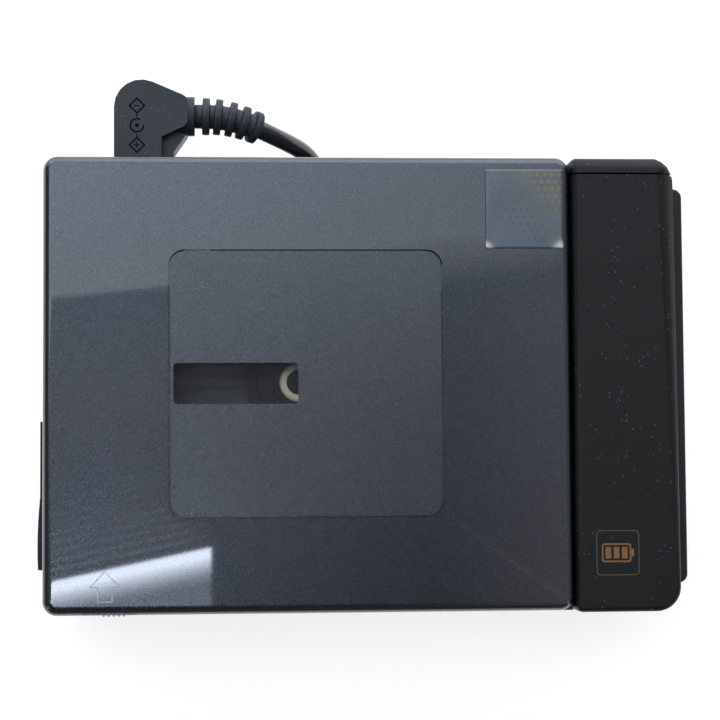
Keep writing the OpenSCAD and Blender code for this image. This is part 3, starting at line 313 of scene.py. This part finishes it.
MATS = {
    "lid": lid_paint(),
    "panel": panel_paint(),
    "pane": pane(),
    "body": moulded("body_plastic", lin(46, 50, 57), 0.42, 0.2, 0.004, spec=0.4),
    "black": moulded("black_plastic", lin(26, 28, 31), 0.5, 0.25, 0.006, spec=0.35),
    "table": moulded("table_plastic", lin(34, 34, 36), 0.4, 1.2, 0.002, spec=0.35),
    "grip": moulded("grip_plastic", lin(10, 12, 13), 0.44, 0.28, 0.008, dust=0.4, spec=0.3),
    "case": moulded("case_plastic", lin(24, 26, 29), 0.55, 0.35, 0.01, spec=0.36),
    "button": moulded("button_plastic", lin(58, 62, 68), 0.35, 0.2, 0.003),
    "plug": moulded("plug_plastic", lin(33, 39, 45), 0.42, 0.22, 0.004, dust=0.3, spec=0.34),
    "lead": rubber("lead_rubber", lin(13, 14, 15), 0.2),
    "damper": rubber("damper_rubber", lin(26, 26, 28), 0.5),
    "sheet": metal("sheet_steel", lin(118, 122, 126), 0.34, brush=(1, 12, 1)),
    "dark_sheet": metal("dark_steel", lin(92, 94, 98), 0.45, brush=(0.04, 1.6, 1), depth=0.0008),
    "bright": metal("bright_steel", lin(190, 192, 196), 0.22, brush=(0.2, 8, 8)),
    "spring": metal("spring_steel", lin(160, 163, 168), 0.28, brush=(1, 10, 1)),
    "contact": metal("contact_metal", lin(206, 190, 150), 0.3),
    "ring": moulded("ring_plastic", lin(226, 220, 202), 0.45, 0.2, 0.004),
    "sled": metal("sled_metal", lin(120, 122, 128), 0.5),
    "lens": lens_glass(),
    "board": board(),
    "chip": moulded("chip_plastic", lin(30, 30, 32), 0.6, 0.15, 0.004),
    "pack": moulded("pack_plastic", lin(52, 54, 62), 0.45, 0.22, 0.005),
    "cell": jacket(),
}
FINISH = {
    "lid_shell": "lid", "window_panel": "panel", "window_pane": "pane", "main_case": "body", "front_panel": "body",
    "bottom_cover": "black", "grip_housing": "grip", "battery_cap": "grip", "battery_pack": "pack",
    "battery_contacts": "contact", "case_shell": "case", "case_door": "case", "case_latch": "case",
    "dry_cells": "cell", "cell_contacts": "contact", "lead_gland": "lead", "plug_body": "plug",
    "plug_boot": "plug", "plug_tip": "bright", "deck_plate": "dark_sheet", "deck_dampers": "damper",
    "spindle_motor": "bright", "turntable": "table", "centring_ring": "ring", "pickup_sled": "sled",
    "objective_lens": "lens", "guide_rod": "bright", "lead_screw": "bright", "sled_motor": "bright",
    "main_board": "board", "board_chips": "chip", "key_board": "board", "key_switches": "bright",
    "disc_holder": "sheet", "holder_springs": "spring", "lid_hook": "spring", "lid_spring": "spring",
    "hinge_pins": "bright", "cap_pins": "bright", "latch_pins": "bright", "cover_screws": "bright",
    "play_button": "button", "stop_button": "button", "back_button": "button",
    "forward_button": "button", "volume_down_button": "button", "volume_up_button": "button",
    "open_slider": "button", "hold_slider": "button", "tone_slider": "button",
    "phones_jack": "black", "line_jack": "black", "dc_jack": "black",
}
# Rounding of sharp edges in millimetres where it isn't the plain one. Zero keeps a thread or fine grooves as they are
PLAIN_BEVEL = 0.1
BEVEL = {"window_pane": 0.05, "lead_screw": 0, "hinge_pins": 0.05, "cap_pins": 0.05, "latch_pins": 0.03,
         "cover_screws": 0.05, "holder_springs": 0.04, "lid_spring": 0.05, "lid_shell": 0.06,
         "window_panel": 0.12, "plug_body": 0.35, "key_switches": 0.08, "plug_boot": 0.22, "case_latch": 0.2,
         "case_shell": 0.15, "case_door": 0, "grip_housing": 0.08, "battery_cap": 0.08, "disc_holder": 0.1}


def smoothing(angle):
    """A node group that shades smooth below an edge angle."""
    g = bpy.data.node_groups.new("smooth_by_angle", "GeometryNodeTree")
    g.interface.new_socket("Geometry", in_out="INPUT", socket_type="NodeSocketGeometry")
    g.interface.new_socket("Geometry", in_out="OUTPUT", socket_type="NodeSocketGeometry")
    n = g.nodes
    first, last = n.new("NodeGroupInput"), n.new("NodeGroupOutput")
    edge = n.new("GeometryNodeInputMeshEdgeAngle")
    less = n.new("FunctionNodeCompare")
    less.data_type = "FLOAT"
    less.operation = "LESS_EQUAL"
    less.inputs[1].default_value = math.radians(angle)
    faces = n.new("GeometryNodeSetShadeSmooth")
    faces.domain = "FACE"
    edges = n.new("GeometryNodeSetShadeSmooth")
    edges.domain = "EDGE"
    g.links.new(edge.outputs["Unsigned Angle"], less.inputs[0])
    g.links.new(first.outputs[0], faces.inputs["Geometry"])
    g.links.new(faces.outputs[0], edges.inputs["Geometry"])
    g.links.new(less.outputs[0], edges.inputs["Shade Smooth"])
    g.links.new(edges.outputs[0], last.inputs[0])
    return g


# Angles in degrees: shaded smooth below, taken as flat below, rounded above
SMOOTH_BELOW, FLAT_BELOW, ROUND_ABOVE = 32, 0.6, 38
SMOOTH = smoothing(SMOOTH_BELOW)


def finish_edges(obj, bevel):
    """Welds the CAD faces, rounds the sharp edges by bevel millimetres and smooths the shading."""
    weld = obj.modifiers.new("weld", "WELD")
    weld.merge_threshold = 1e-6
    if bevel:
        flat = obj.modifiers.new("flat", "DECIMATE")
        flat.decimate_type = "DISSOLVE"
        flat.angle_limit = math.radians(FLAT_BELOW)
        b = obj.modifiers.new("bevel", "BEVEL")
        b.width = bevel * MM
        b.segments = 2
        b.limit_method = "ANGLE"
        b.angle_limit = math.radians(ROUND_ABOVE)
        b.miter_outer = "MITER_ARC"
    obj.modifiers.new("smooth", "NODES").node_group = SMOOTH
    w = obj.modifiers.new("normals", "WEIGHTED_NORMAL")
    w.keep_sharp = True
    w.weight = 80


for name, obj in NODES.items():
    if name == "dc_lead":
        continue
    obj.data.materials.clear()
    obj.data.materials.append(MATS[FINISH[name]])
    finish_edges(obj, BEVEL.get(name, PLAIN_BEVEL))
lead.data.materials.append(MATS["lead"])


# ---- printed marks, and painted shade for the plug's moulded marks: thin raised ink in the plane of the face that carries it
def circle(cx, cy, r, start=0, turn=360, steps=28):
    return [(cx + r * math.cos(math.radians(start + turn * i / steps)),
             cy + r * math.sin(math.radians(start + turn * i / steps))) for i in range(steps + (turn < 360))]


def box2(x0, y0, x1, y1):
    return [(x0, y0), (x1, y0), (x1, y1), (x0, y1)]


def round_box(x0, y0, x1, y1, r):
    """The outline of a box with round corners."""
    out = []
    for cx, cy, a in ((x1 - r, y0 + r, -90), (x1 - r, y1 - r, 0), (x0 + r, y1 - r, 90), (x0 + r, y0 + r, 180)):
        out += circle(cx, cy, r, a, 90, 5)
    return out


# The ink's foot over the face, and its thickness
INK_FOOT, INK_THICK = 0.004, 0.025


class Ink:
    """A flat mark: closed or open strokes of one width, and filled shapes."""

    def __init__(self, origin, u, v):
        self.origin, self.u, self.v = Vector(origin), Vector(u), Vector(v)
        self.n = self.u.cross(self.v)
        self.bm = bmesh.new()

    def vert(self, p, up):
        at = self.origin + self.u * p[0] + self.v * p[1] + self.n * (INK_FOOT + up * INK_THICK)
        return self.bm.verts.new(at * MM)

    def fill(self, points):
        low, high = [self.vert(p, 0) for p in points], [self.vert(p, 1) for p in points]
        self.bm.faces.new(high)
        self.bm.faces.new(low[::-1])
        for i in range(len(points)):
            j = (i + 1) % len(points)
            self.bm.faces.new((low[i], low[j], high[j], high[i]))
        return self

    def stroke(self, points, width, closed=True):
        pts = [Vector(p) for p in points]
        n = len(pts)
        rows = []
        for i, p in enumerate(pts):
            before = p - pts[i - 1] if closed or i else pts[1] - p
            after = pts[(i + 1) % n] - p if closed or i < n - 1 else before
            along = (before.normalized() + after.normalized()).normalized()
            half = width / 2 / max(0.4, along.dot(after.normalized()))
            side = Vector((-along.y, along.x)) * half
            rows.append([self.vert(q, up) for q in (p + side, p - side) for up in (0, 1)])
        for i in range(n if closed else n - 1):
            a, b = rows[i], rows[(i + 1) % n]
            for k, m in ((1, 3), (3, 2), (2, 0), (0, 1)):
                self.bm.faces.new((a[k], a[m], b[m], b[k]))
        if not closed:
            for r in (rows[0], rows[-1]):
                self.bm.faces.new((r[0], r[1], r[3], r[2]))
        return self

    def done(self, name, material, body, slot):
        bmesh.ops.recalc_face_normals(self.bm, faces=self.bm.faces)
        mesh = bpy.data.meshes.new(name)
        self.bm.to_mesh(mesh)
        self.bm.free()
        mesh.materials.append(material)
        obj = link(bpy.data.objects.new(name, mesh))
        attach(obj, body)
        return obj


def mm_box(node):
    """A node's box in millimetres: lowest and highest corners, and the middle."""
    lo, hi = (Vector(p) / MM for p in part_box(node))
    return lo, hi, (lo + hi) / 2


def ink(name, colour, rough=0.4, metallic=0.0, spec=0.5):
    """Screen-printed ink, a little uneven. Also makes the near-black line that paints the shade of the plug's moulded
    marks.
    """
    m = Mat(name, Metallic=metallic)
    m.shader.inputs["Specular IOR Level"].default_value = spec
    worn = m.noise(1200, detail=3)
    pale = tuple(v * 0.6 for v in colour[:3]) + (1,)
    m.out("Base Color", m.mix(m.ramp(worn, 0.4, 0.7, 0, 0.5), colour, pale))
    m.out("Roughness", m.ramp(worn, 0.3, 0.7, rough - 0.08, rough + 0.1))
    m.bump(worn, 0.002, 0.4)
    return m.m


SILVER_INK = ink("silver_ink", lin(168, 172, 180), 0.35, 0.4)
BRONZE_INK = ink("bronze_ink", lin(114, 78, 43), 0.45)
DIM_INK = ink("dim_bronze_ink", lin(74, 62, 46), 0.5)
WHITE_INK = ink("white_ink", lin(150, 154, 160), 0.45)
# Near-black ink that paints the shade along the plug's moulded polarity marks
RELIEF_SHADE_INK = ink("painted_relief_shade", lin(9, 10, 12), 0.8, spec=0.04)
LID_TOP = mm_box("lid_shell")[1].z
GRIP_TOP = mm_box("grip_housing")[1].z
RIGHT, REAR, UP = (1, 0, 0), (0, 1, 0), (0, 0, 1)
LEFT = (-1, 0, 0)

# Middles of the arrow, the battery mark and the polarity marks
ARROW_AT, BATTERY_AT, POLARITY_AT = (-44.7, -34.8), (44.25, -29.8), (-39.85, 47.6)

# Outline arrow that points the disc's way in
Ink((*ARROW_AT, LID_TOP), RIGHT, REAR).stroke(
    [(0, 2.6), (-2.55, -0.1), (-1.25, -0.1), (-1.25, -2.6), (1.25, -2.6), (1.25, -0.1), (2.55, -0.1)],
    0.17).done("lid_arrow", SILVER_INK, "lid", "bright_steel")

# Battery pictogram in its frame on the grip
Ink((*BATTERY_AT, GRIP_TOP), RIGHT, REAR).stroke(
    round_box(-3.7, -3.85, 3.7, 3.85, 0.7), 0.16).done("grip_frame", DIM_INK, "chassis", "contact_metal")
battery = Ink((*BATTERY_AT, GRIP_TOP), RIGHT, REAR)
battery.stroke(round_box(-2.7, -1.5, 2.2, 1.5, 0.35), 0.3)
battery.fill(box2(2.38, -0.65, 2.85, 0.65))
for i in range(3):
    battery.fill(box2(-2.2 + i * 1.45, -1.0, -1.2 + i * 1.45, 1.0))
battery.done("grip_battery_mark", BRONZE_INK, "chassis", "contact_metal")

# Polarity marks moulded on the plug: their near-black lines are painted shade along the relief, not print
plug_top = mm_box("plug_body")[1].z
polarity = Ink((*POLARITY_AT, plug_top), RIGHT, REAR)
polarity.stroke(circle(0, 0, 1.2, 60, 300), 0.28, closed=False).fill(circle(0, 0, 0.36, steps=12))
for s in (-1, 1):
    polarity.stroke([(-1.35, 3.6 * s), (0, 3.6 * s - 1.35), (1.35, 3.6 * s), (0, 3.6 * s + 1.35)], 0.28)
    polarity.fill(box2(-0.5, 3.6 * s - 0.11, 0.5, 3.6 * s + 0.11))
    polarity.fill(box2(-0.1, min(1.5 * s, 2.1 * s), 0.1, max(1.5 * s, 2.1 * s)))
polarity.fill(box2(-0.11, -4.1, 0.11, -3.75)).fill(box2(-0.11, -3.45, 0.11, -3.1))
polarity.done("plug_polarity", RELIEF_SHADE_INK, "chassis", "plug_plastic")


# Symbols over the keys and the hold slider
def wedge(x, s):
    return [(x - 0.55 * s, -0.75), (x + 0.55 * s, 0), (x - 0.55 * s, 0.75)][::int(s)]


def symbol(node, wall, shapes, strokes=()):
    lo, hi, mid = mm_box(node)
    if wall == "front":
        mark = Ink((mid.x, mm_box("front_panel")[0].y, hi.z + 2), RIGHT, UP)
    else:
        mark = Ink((mid.x, mm_box("main_case")[1].y, hi.z + 1.6), LEFT, UP)
    for points in shapes:
        mark.fill(points)
    for points in strokes:
        mark.stroke(points, 0.22, closed=False)
    mark.done(node + "_mark", WHITE_INK, "chassis", "ring_plastic")


symbol("play_button", "front", [[(-0.7, -0.8), (0.8, 0), (-0.7, 0.8)]])
symbol("stop_button", "front", [box2(-0.7, -0.7, 0.7, 0.7)])
symbol("back_button", "front", [wedge(-0.1, -1), wedge(1.0, -1), box2(-1.0, -0.75, -0.76, 0.75)])
symbol("forward_button", "front", [wedge(0.1, 1), wedge(-1.0, 1), box2(0.76, -0.75, 1.0, 0.75)])
symbol("volume_down_button", "front", [box2(-0.8, -0.14, 0.8, 0.14)])
symbol("volume_up_button", "front", [box2(-0.8, -0.14, 0.8, 0.14), box2(-0.14, 0.15, 0.14, 0.8),
                                     box2(-0.14, -0.8, 0.14, -0.15)])
symbol("hold_slider", "front", [[(0.5, -0.6), (1.4, 0), (0.5, 0.6)]], [[(-1.3, 0), (0.5, 0)]])


# The film's place on the lid, the pitch of its dots, and the cells of its mesh each way
FILM_X, FILM_Y, DOT_PITCH, FILM_N = (21.6, 35.3), (23.5, 37.5), 1.25, 36


def film():
    """Printed film: a staggered grid of dots that grow and turn from dark green to ochre."""
    m = Mat("film_print", Metallic=0.35, Coat_Weight=0.8, Coat_Roughness=0.1)
    xyz = m.node("ShaderNodeSeparateXYZ", {"Vector": m.co})
    u = m.math("DIVIDE", m.math("SUBTRACT", xyz.outputs["X"], FILM_X[0] * MM), DOT_PITCH * MM)
    v = m.math("DIVIDE", m.math("SUBTRACT", xyz.outputs["Y"], FILM_Y[0] * MM), DOT_PITCH * MM)
    shift = m.math("ADD", u, m.math("MULTIPLY", m.math("MODULO", m.math("FLOOR", v), 2), 0.5))
    du = m.math("SUBTRACT", m.math("FRACT", shift), 0.5)
    dv = m.math("SUBTRACT", m.math("FRACT", v), 0.5)
    far = m.math("SQRT", m.math("ADD", m.math("MULTIPLY", du, du), m.math("MULTIPLY", dv, dv)))
    # The dots fill a triangle that opens to the rear right
    reach = m.math("ADD", u, v)
    r = m.ramp(reach, 7, 17, 0.12, 0.36)
    dot = m.math("MULTIPLY", m.ramp(m.math("SUBTRACT", far, r), 0.05, -0.05), m.ramp(reach, 6.7, 6.9))
    inside = m.math("MULTIPLY", m.ramp(u, 0.8, 1.0), m.ramp(v, 0.8, 1.0))
    colour = m.mix(m.ramp(reach, 8, 17), lin(30, 50, 47), lin(98, 86, 46))
    base = m.mix(m.ramp(m.noise(240, detail=3), 0.35, 0.7), lin(56, 68, 80), lin(68, 80, 92))
    c = m.mix(m.math("MULTIPLY", m.math("MULTIPLY", dot, inside), 0.9), base, colour)
    # Air under the two front corners makes them pale
    z = m.ramp(xyz.outputs["Z"], (LID_TOP + 0.09) * MM, (LID_TOP + 0.3) * MM)
    m.out("Base Color", m.mix(m.math("MULTIPLY", z, 0.75), c, lin(176, 176, 170)))
    m.out("Roughness", m.ramp(m.noise(700, detail=2), 0.3, 0.7, 0.28, 0.42))
    return m.m


mesh = bpy.data.meshes.new("lid_film")
rows = []
for j in range(FILM_N + 1):
    for i in range(FILM_N + 1):
        a, b = i / FILM_N, j / FILM_N
        x, y = FILM_X[0] + a * (FILM_X[1] - FILM_X[0]), FILM_Y[0] + b * (FILM_Y[1] - FILM_Y[0])
        left, right = math.hypot(x - FILM_X[0], y - FILM_Y[0]), math.hypot(x - FILM_X[1], y - FILM_Y[0])
        lift = 0.42 * math.exp(-(left / 1.1) ** 2) + 0.36 * math.exp(-(right / 1.3) ** 2)
        lift += 0.05 * max(0, math.sin(a * 9)) * math.exp(-b * 30)
        rows.append((x * MM, y * MM, (LID_TOP + 0.05 + lift) * MM))
w = FILM_N + 1
mesh.from_pydata(rows, [], [(j * w + i, j * w + i + 1, (j + 1) * w + i + 1, (j + 1) * w + i)
                            for j in range(FILM_N) for i in range(FILM_N)])
mesh.shade_smooth()
mesh.materials.append(film())
sticker = link(bpy.data.objects.new("lid_film", mesh))
thick = sticker.modifiers.new("thickness", "SOLIDIFY")
thick.thickness = 0.045 * MM
thick.offset = -1
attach(sticker, "lid")


# ---- stage: floor, overhead card, dark flags, lamps, world
def plane(name, centre, size, normal):
    mesh = bpy.data.meshes.new(name)
    a, b = size[0] / 2, size[1] / 2
    mesh.from_pydata([(-a, -b, 0), (a, -b, 0), (a, b, 0), (-a, b, 0)], [], [(0, 1, 2, 3)])
    obj = link(bpy.data.objects.new(name, mesh))
    obj.matrix_world = Matrix.Translation(centre) @ Vector(normal).to_track_quat("Z", "Y").to_matrix().to_4x4()
    return obj


def seen_white(m, others, white):
    """Mixes two shaders: what the camera, gloss and glass see, and what lights the object."""
    path = m.node("ShaderNodeLightPath")
    direct = m.math("MAXIMUM", path.outputs["Is Camera Ray"],
                    m.math("MAXIMUM", path.outputs["Is Glossy Ray"], path.outputs["Is Transmission Ray"]))
    mixed = m.node("ShaderNodeMixShader", {0: direct, 1: others, 2: white})
    return mixed.outputs[0]


def floor_material():
    m = Mat("floor")
    out = next(n for n in m.t.nodes if n.type == "OUTPUT_MATERIAL")
    plain = m.node("ShaderNodeBsdfDiffuse", {"Color": (0.7, 0.7, 0.7, 1)}).outputs[0]
    thin = m.node("ShaderNodeBsdfDiffuse", {"Color": (0.3, 0.3, 0.3, 1)}).outputs[0]
    glow = m.node("ShaderNodeEmission", {"Color": (1, 1, 1, 1), "Strength": 0.8}).outputs[0]
    both = m.node("ShaderNodeAddShader", {0: thin, 1: glow}).outputs[0]
    # From below the floor is clear, so the underside shows
    back = m.node("ShaderNodeNewGeometry").outputs["Backfacing"]
    clear = m.node("ShaderNodeBsdfTransparent").outputs[0]
    sided = m.node("ShaderNodeMixShader", {0: back, 1: seen_white(m, plain, both), 2: clear})
    m.t.links.new(sided.outputs[0], out.inputs["Surface"])
    return m.m


floor = plane("floor", (0, 0, -0.0002), (30, 30), (0, 0, 1))
floor.data.materials.append(floor_material())

CARD_Z = 1.0
LID_Z = 0.0445
# A point of the lid mirrors the card where the ray from the camera comes out
MIRROR = (CARD_Z - LID_Z) / (EYE.z - LID_Z)
# On the lid, in millimetres: the bright part's edge, the lamp's upper edge and right end, and the fins' turn per mm
RIM_SLOPE, RIM_Y = 0.1, 20.3
LAMP_SLOPE, LAMP_Y, LAMP_X = 0.2075, 22.7, -26.5
FIN_TURN = 4.03


def card_material():
    """The overhead card: bright to the rear, dark to the front and less so at the right, with a louvred lamp."""
    m = Mat("card")
    out = next(n for n in m.t.nodes if n.type == "OUTPUT_MATERIAL")
    pos = m.node("ShaderNodeNewGeometry").outputs["Position"]
    # Millimetres on the lid, under the mirror image
    k = 1000 / (1 + MIRROR)
    at = m.node("ShaderNodeMapping", {"Vector": pos, "Scale": (k, k, 0),
                                      "Location": (k * MIRROR * EYE.x, k * MIRROR * EYE.y, 0)}).outputs[0]
    xyz = m.node("ShaderNodeSeparateXYZ", {"Vector": at})
    x, y = xyz.outputs["X"], xyz.outputs["Y"]
    # The rear part's edge is sharp at the left and soft at the right
    rim = m.math("SUBTRACT", y, m.math("ADD", m.math("MULTIPLY", x, RIM_SLOPE), RIM_Y))
    rear = m.math("ADD", m.math("DIVIDE", rim, m.ramp(x, -34, 10, 0.8, 9)), 0.5)
    rear = m.ramp(rear, 0, 1)
    bright = m.math("MULTIPLY", m.ramp(x, -60, 60, 2.1, 1.25), m.ramp(y, 240, 60, 0.5, 1))
    dark = m.math("MULTIPLY", m.ramp(x, -52, 45, 0.42, 0.02, "SMOOTHSTEP"), m.ramp(y, -45, -5, 0.1, 1))
    dark = m.math("ADD", dark, m.ramp(x, 12, 38, 0, 0.42))
    dark = m.math("MULTIPLY", dark, m.math("SUBTRACT", 1, m.ramp(rim, -12, -1, 0, 0.4)))
    level = m.math("ADD", dark, m.math("MULTIPLY", rear, m.math("SUBTRACT", bright, dark)))
    # The lamp, brightest below its upper edge, and the louvres above it
    up = m.math("SUBTRACT", y, m.math("SUBTRACT", m.math("MULTIPLY", x, LAMP_SLOPE), LAMP_Y))
    width = m.math("MULTIPLY", m.ramp(x, LAMP_X + 0.3, LAMP_X - 0.3), m.ramp(y, -50, -46))
    fall = m.ramp(up, -6.5, -1.5)
    lamp = m.math("ADD", 2, m.math("MULTIPLY", 18, m.math("POWER", fall, 2)))
    lamp = m.math("MULTIPLY", m.ramp(up, 0.25, -0.25), lamp)
    wave = m.math("SINE", m.math("MULTIPLY", up, FIN_TURN))
    fins = m.math("MULTIPLY", m.ramp(wave, 0.3, 1.0, 0, 1.6),
                  m.math("MULTIPLY", m.ramp(up, 16, 1), m.ramp(up, 0.4, 1.2)))
    fins = m.math("MULTIPLY", fins, m.ramp(m.math("ADD", x, m.math("MULTIPLY", up, 0.7)), -26, -29))
    level = m.math("ADD", level, m.math("MULTIPLY", width, m.math("ADD", lamp, fins)))
    tint = m.mix(m.ramp(rim, -10, 10), (1.04, 1.0, 0.98, 1), (0.9, 0.98, 1.08, 1))
    tint = m.mix(m.math("MULTIPLY", width, m.ramp(up, 1, 0)), tint, (0.88, 0.97, 1.14, 1))
    glow = m.node("ShaderNodeEmission", {"Color": tint, "Strength": m.math("MAXIMUM", level, 0.02)})
    m.t.links.new(glow.outputs[0], out.inputs["Surface"])
    return m.m


card = plane("card", (0, 0, CARD_Z), (2.2, 2.2), (0, 0, -1))
card.data.materials.append(card_material())
card.visible_camera = False
card.visible_transmission = False


def flag(name, centre, size, normal, level, tint=(1, 1, 1, 1)):
    m = Mat(name)
    out = next(n for n in m.t.nodes if n.type == "OUTPUT_MATERIAL")
    glow = m.node("ShaderNodeEmission", {"Color": tint, "Strength": level})
    m.t.links.new(glow.outputs[0], out.inputs["Surface"])
    obj = plane(name, centre, size, normal)
    obj.data.materials.append(m.m)
    obj.visible_camera = False
    return obj


# Distance and height of the flags' middles, and their two sizes, in metres
AWAY, HIGH, NARROW, WIDE = 0.9, 0.45, (1.0, 2.0), (2.0, 1.0)
flag("flag_left", (-AWAY, 0, HIGH), NARROW, (1, 0, 0), 0.12)
flag("flag_front", (0, -AWAY, HIGH), WIDE, (0, 1, 0), 0.12)
flag("flag_right", (AWAY, 0, HIGH), NARROW, (-1, 0, 0), 0.3)
flag("flag_rear", (0, AWAY, HIGH), WIDE, (0, -1, 0), 2.4, (0.93, 1, 1.07, 1))


LAMP_AIM = Vector((0, 0, 0.03))


def lamp(name, at, size, watts):
    data = bpy.data.lights.new(name, "AREA")
    data.shape = "DISK"
    data.size = size
    data.energy = watts
    obj = link(bpy.data.objects.new(name, data))
    turned = (Vector(at) - LAMP_AIM).to_track_quat("Z", "Y").to_matrix().to_4x4()
    obj.matrix_world = Matrix.Translation(at) @ turned
    return obj


# The key gives no highlight: the card, the flags and the floor are what glossy faces show
lamp("key", (-0.12, 0.1, 0.8), 0.3, 2.2).visible_glossy = False


def white_world(lit, seen):
    """A white world: one level for the light it gives, one for what camera, gloss and glass see."""
    world = bpy.data.worlds.new("world")
    world.use_nodes = True
    t = world.node_tree
    t.nodes.clear()
    path = t.nodes.new("ShaderNodeLightPath")
    shader = t.nodes.new("ShaderNodeMixShader")
    for k, level in enumerate((lit, seen), 1):
        sky = t.nodes.new("ShaderNodeBackground")
        sky.inputs["Color"].default_value = (1, 1, 1, 1)
        sky.inputs["Strength"].default_value = level
        t.links.new(sky.outputs[0], shader.inputs[k])
    either, direct = t.nodes.new("ShaderNodeMath"), t.nodes.new("ShaderNodeMath")
    either.operation = direct.operation = "MAXIMUM"
    t.links.new(path.outputs["Is Glossy Ray"], either.inputs[0])
    t.links.new(path.outputs["Is Transmission Ray"], either.inputs[1])
    t.links.new(either.outputs[0], direct.inputs[0])
    t.links.new(path.outputs["Is Camera Ray"], direct.inputs[1])
    t.links.new(direct.outputs[0], shader.inputs[0])
    t.links.new(shader.outputs[0], t.nodes.new("ShaderNodeOutputWorld").inputs["Surface"])
    return world


SCENE.world = white_world(0.45, 1.0)
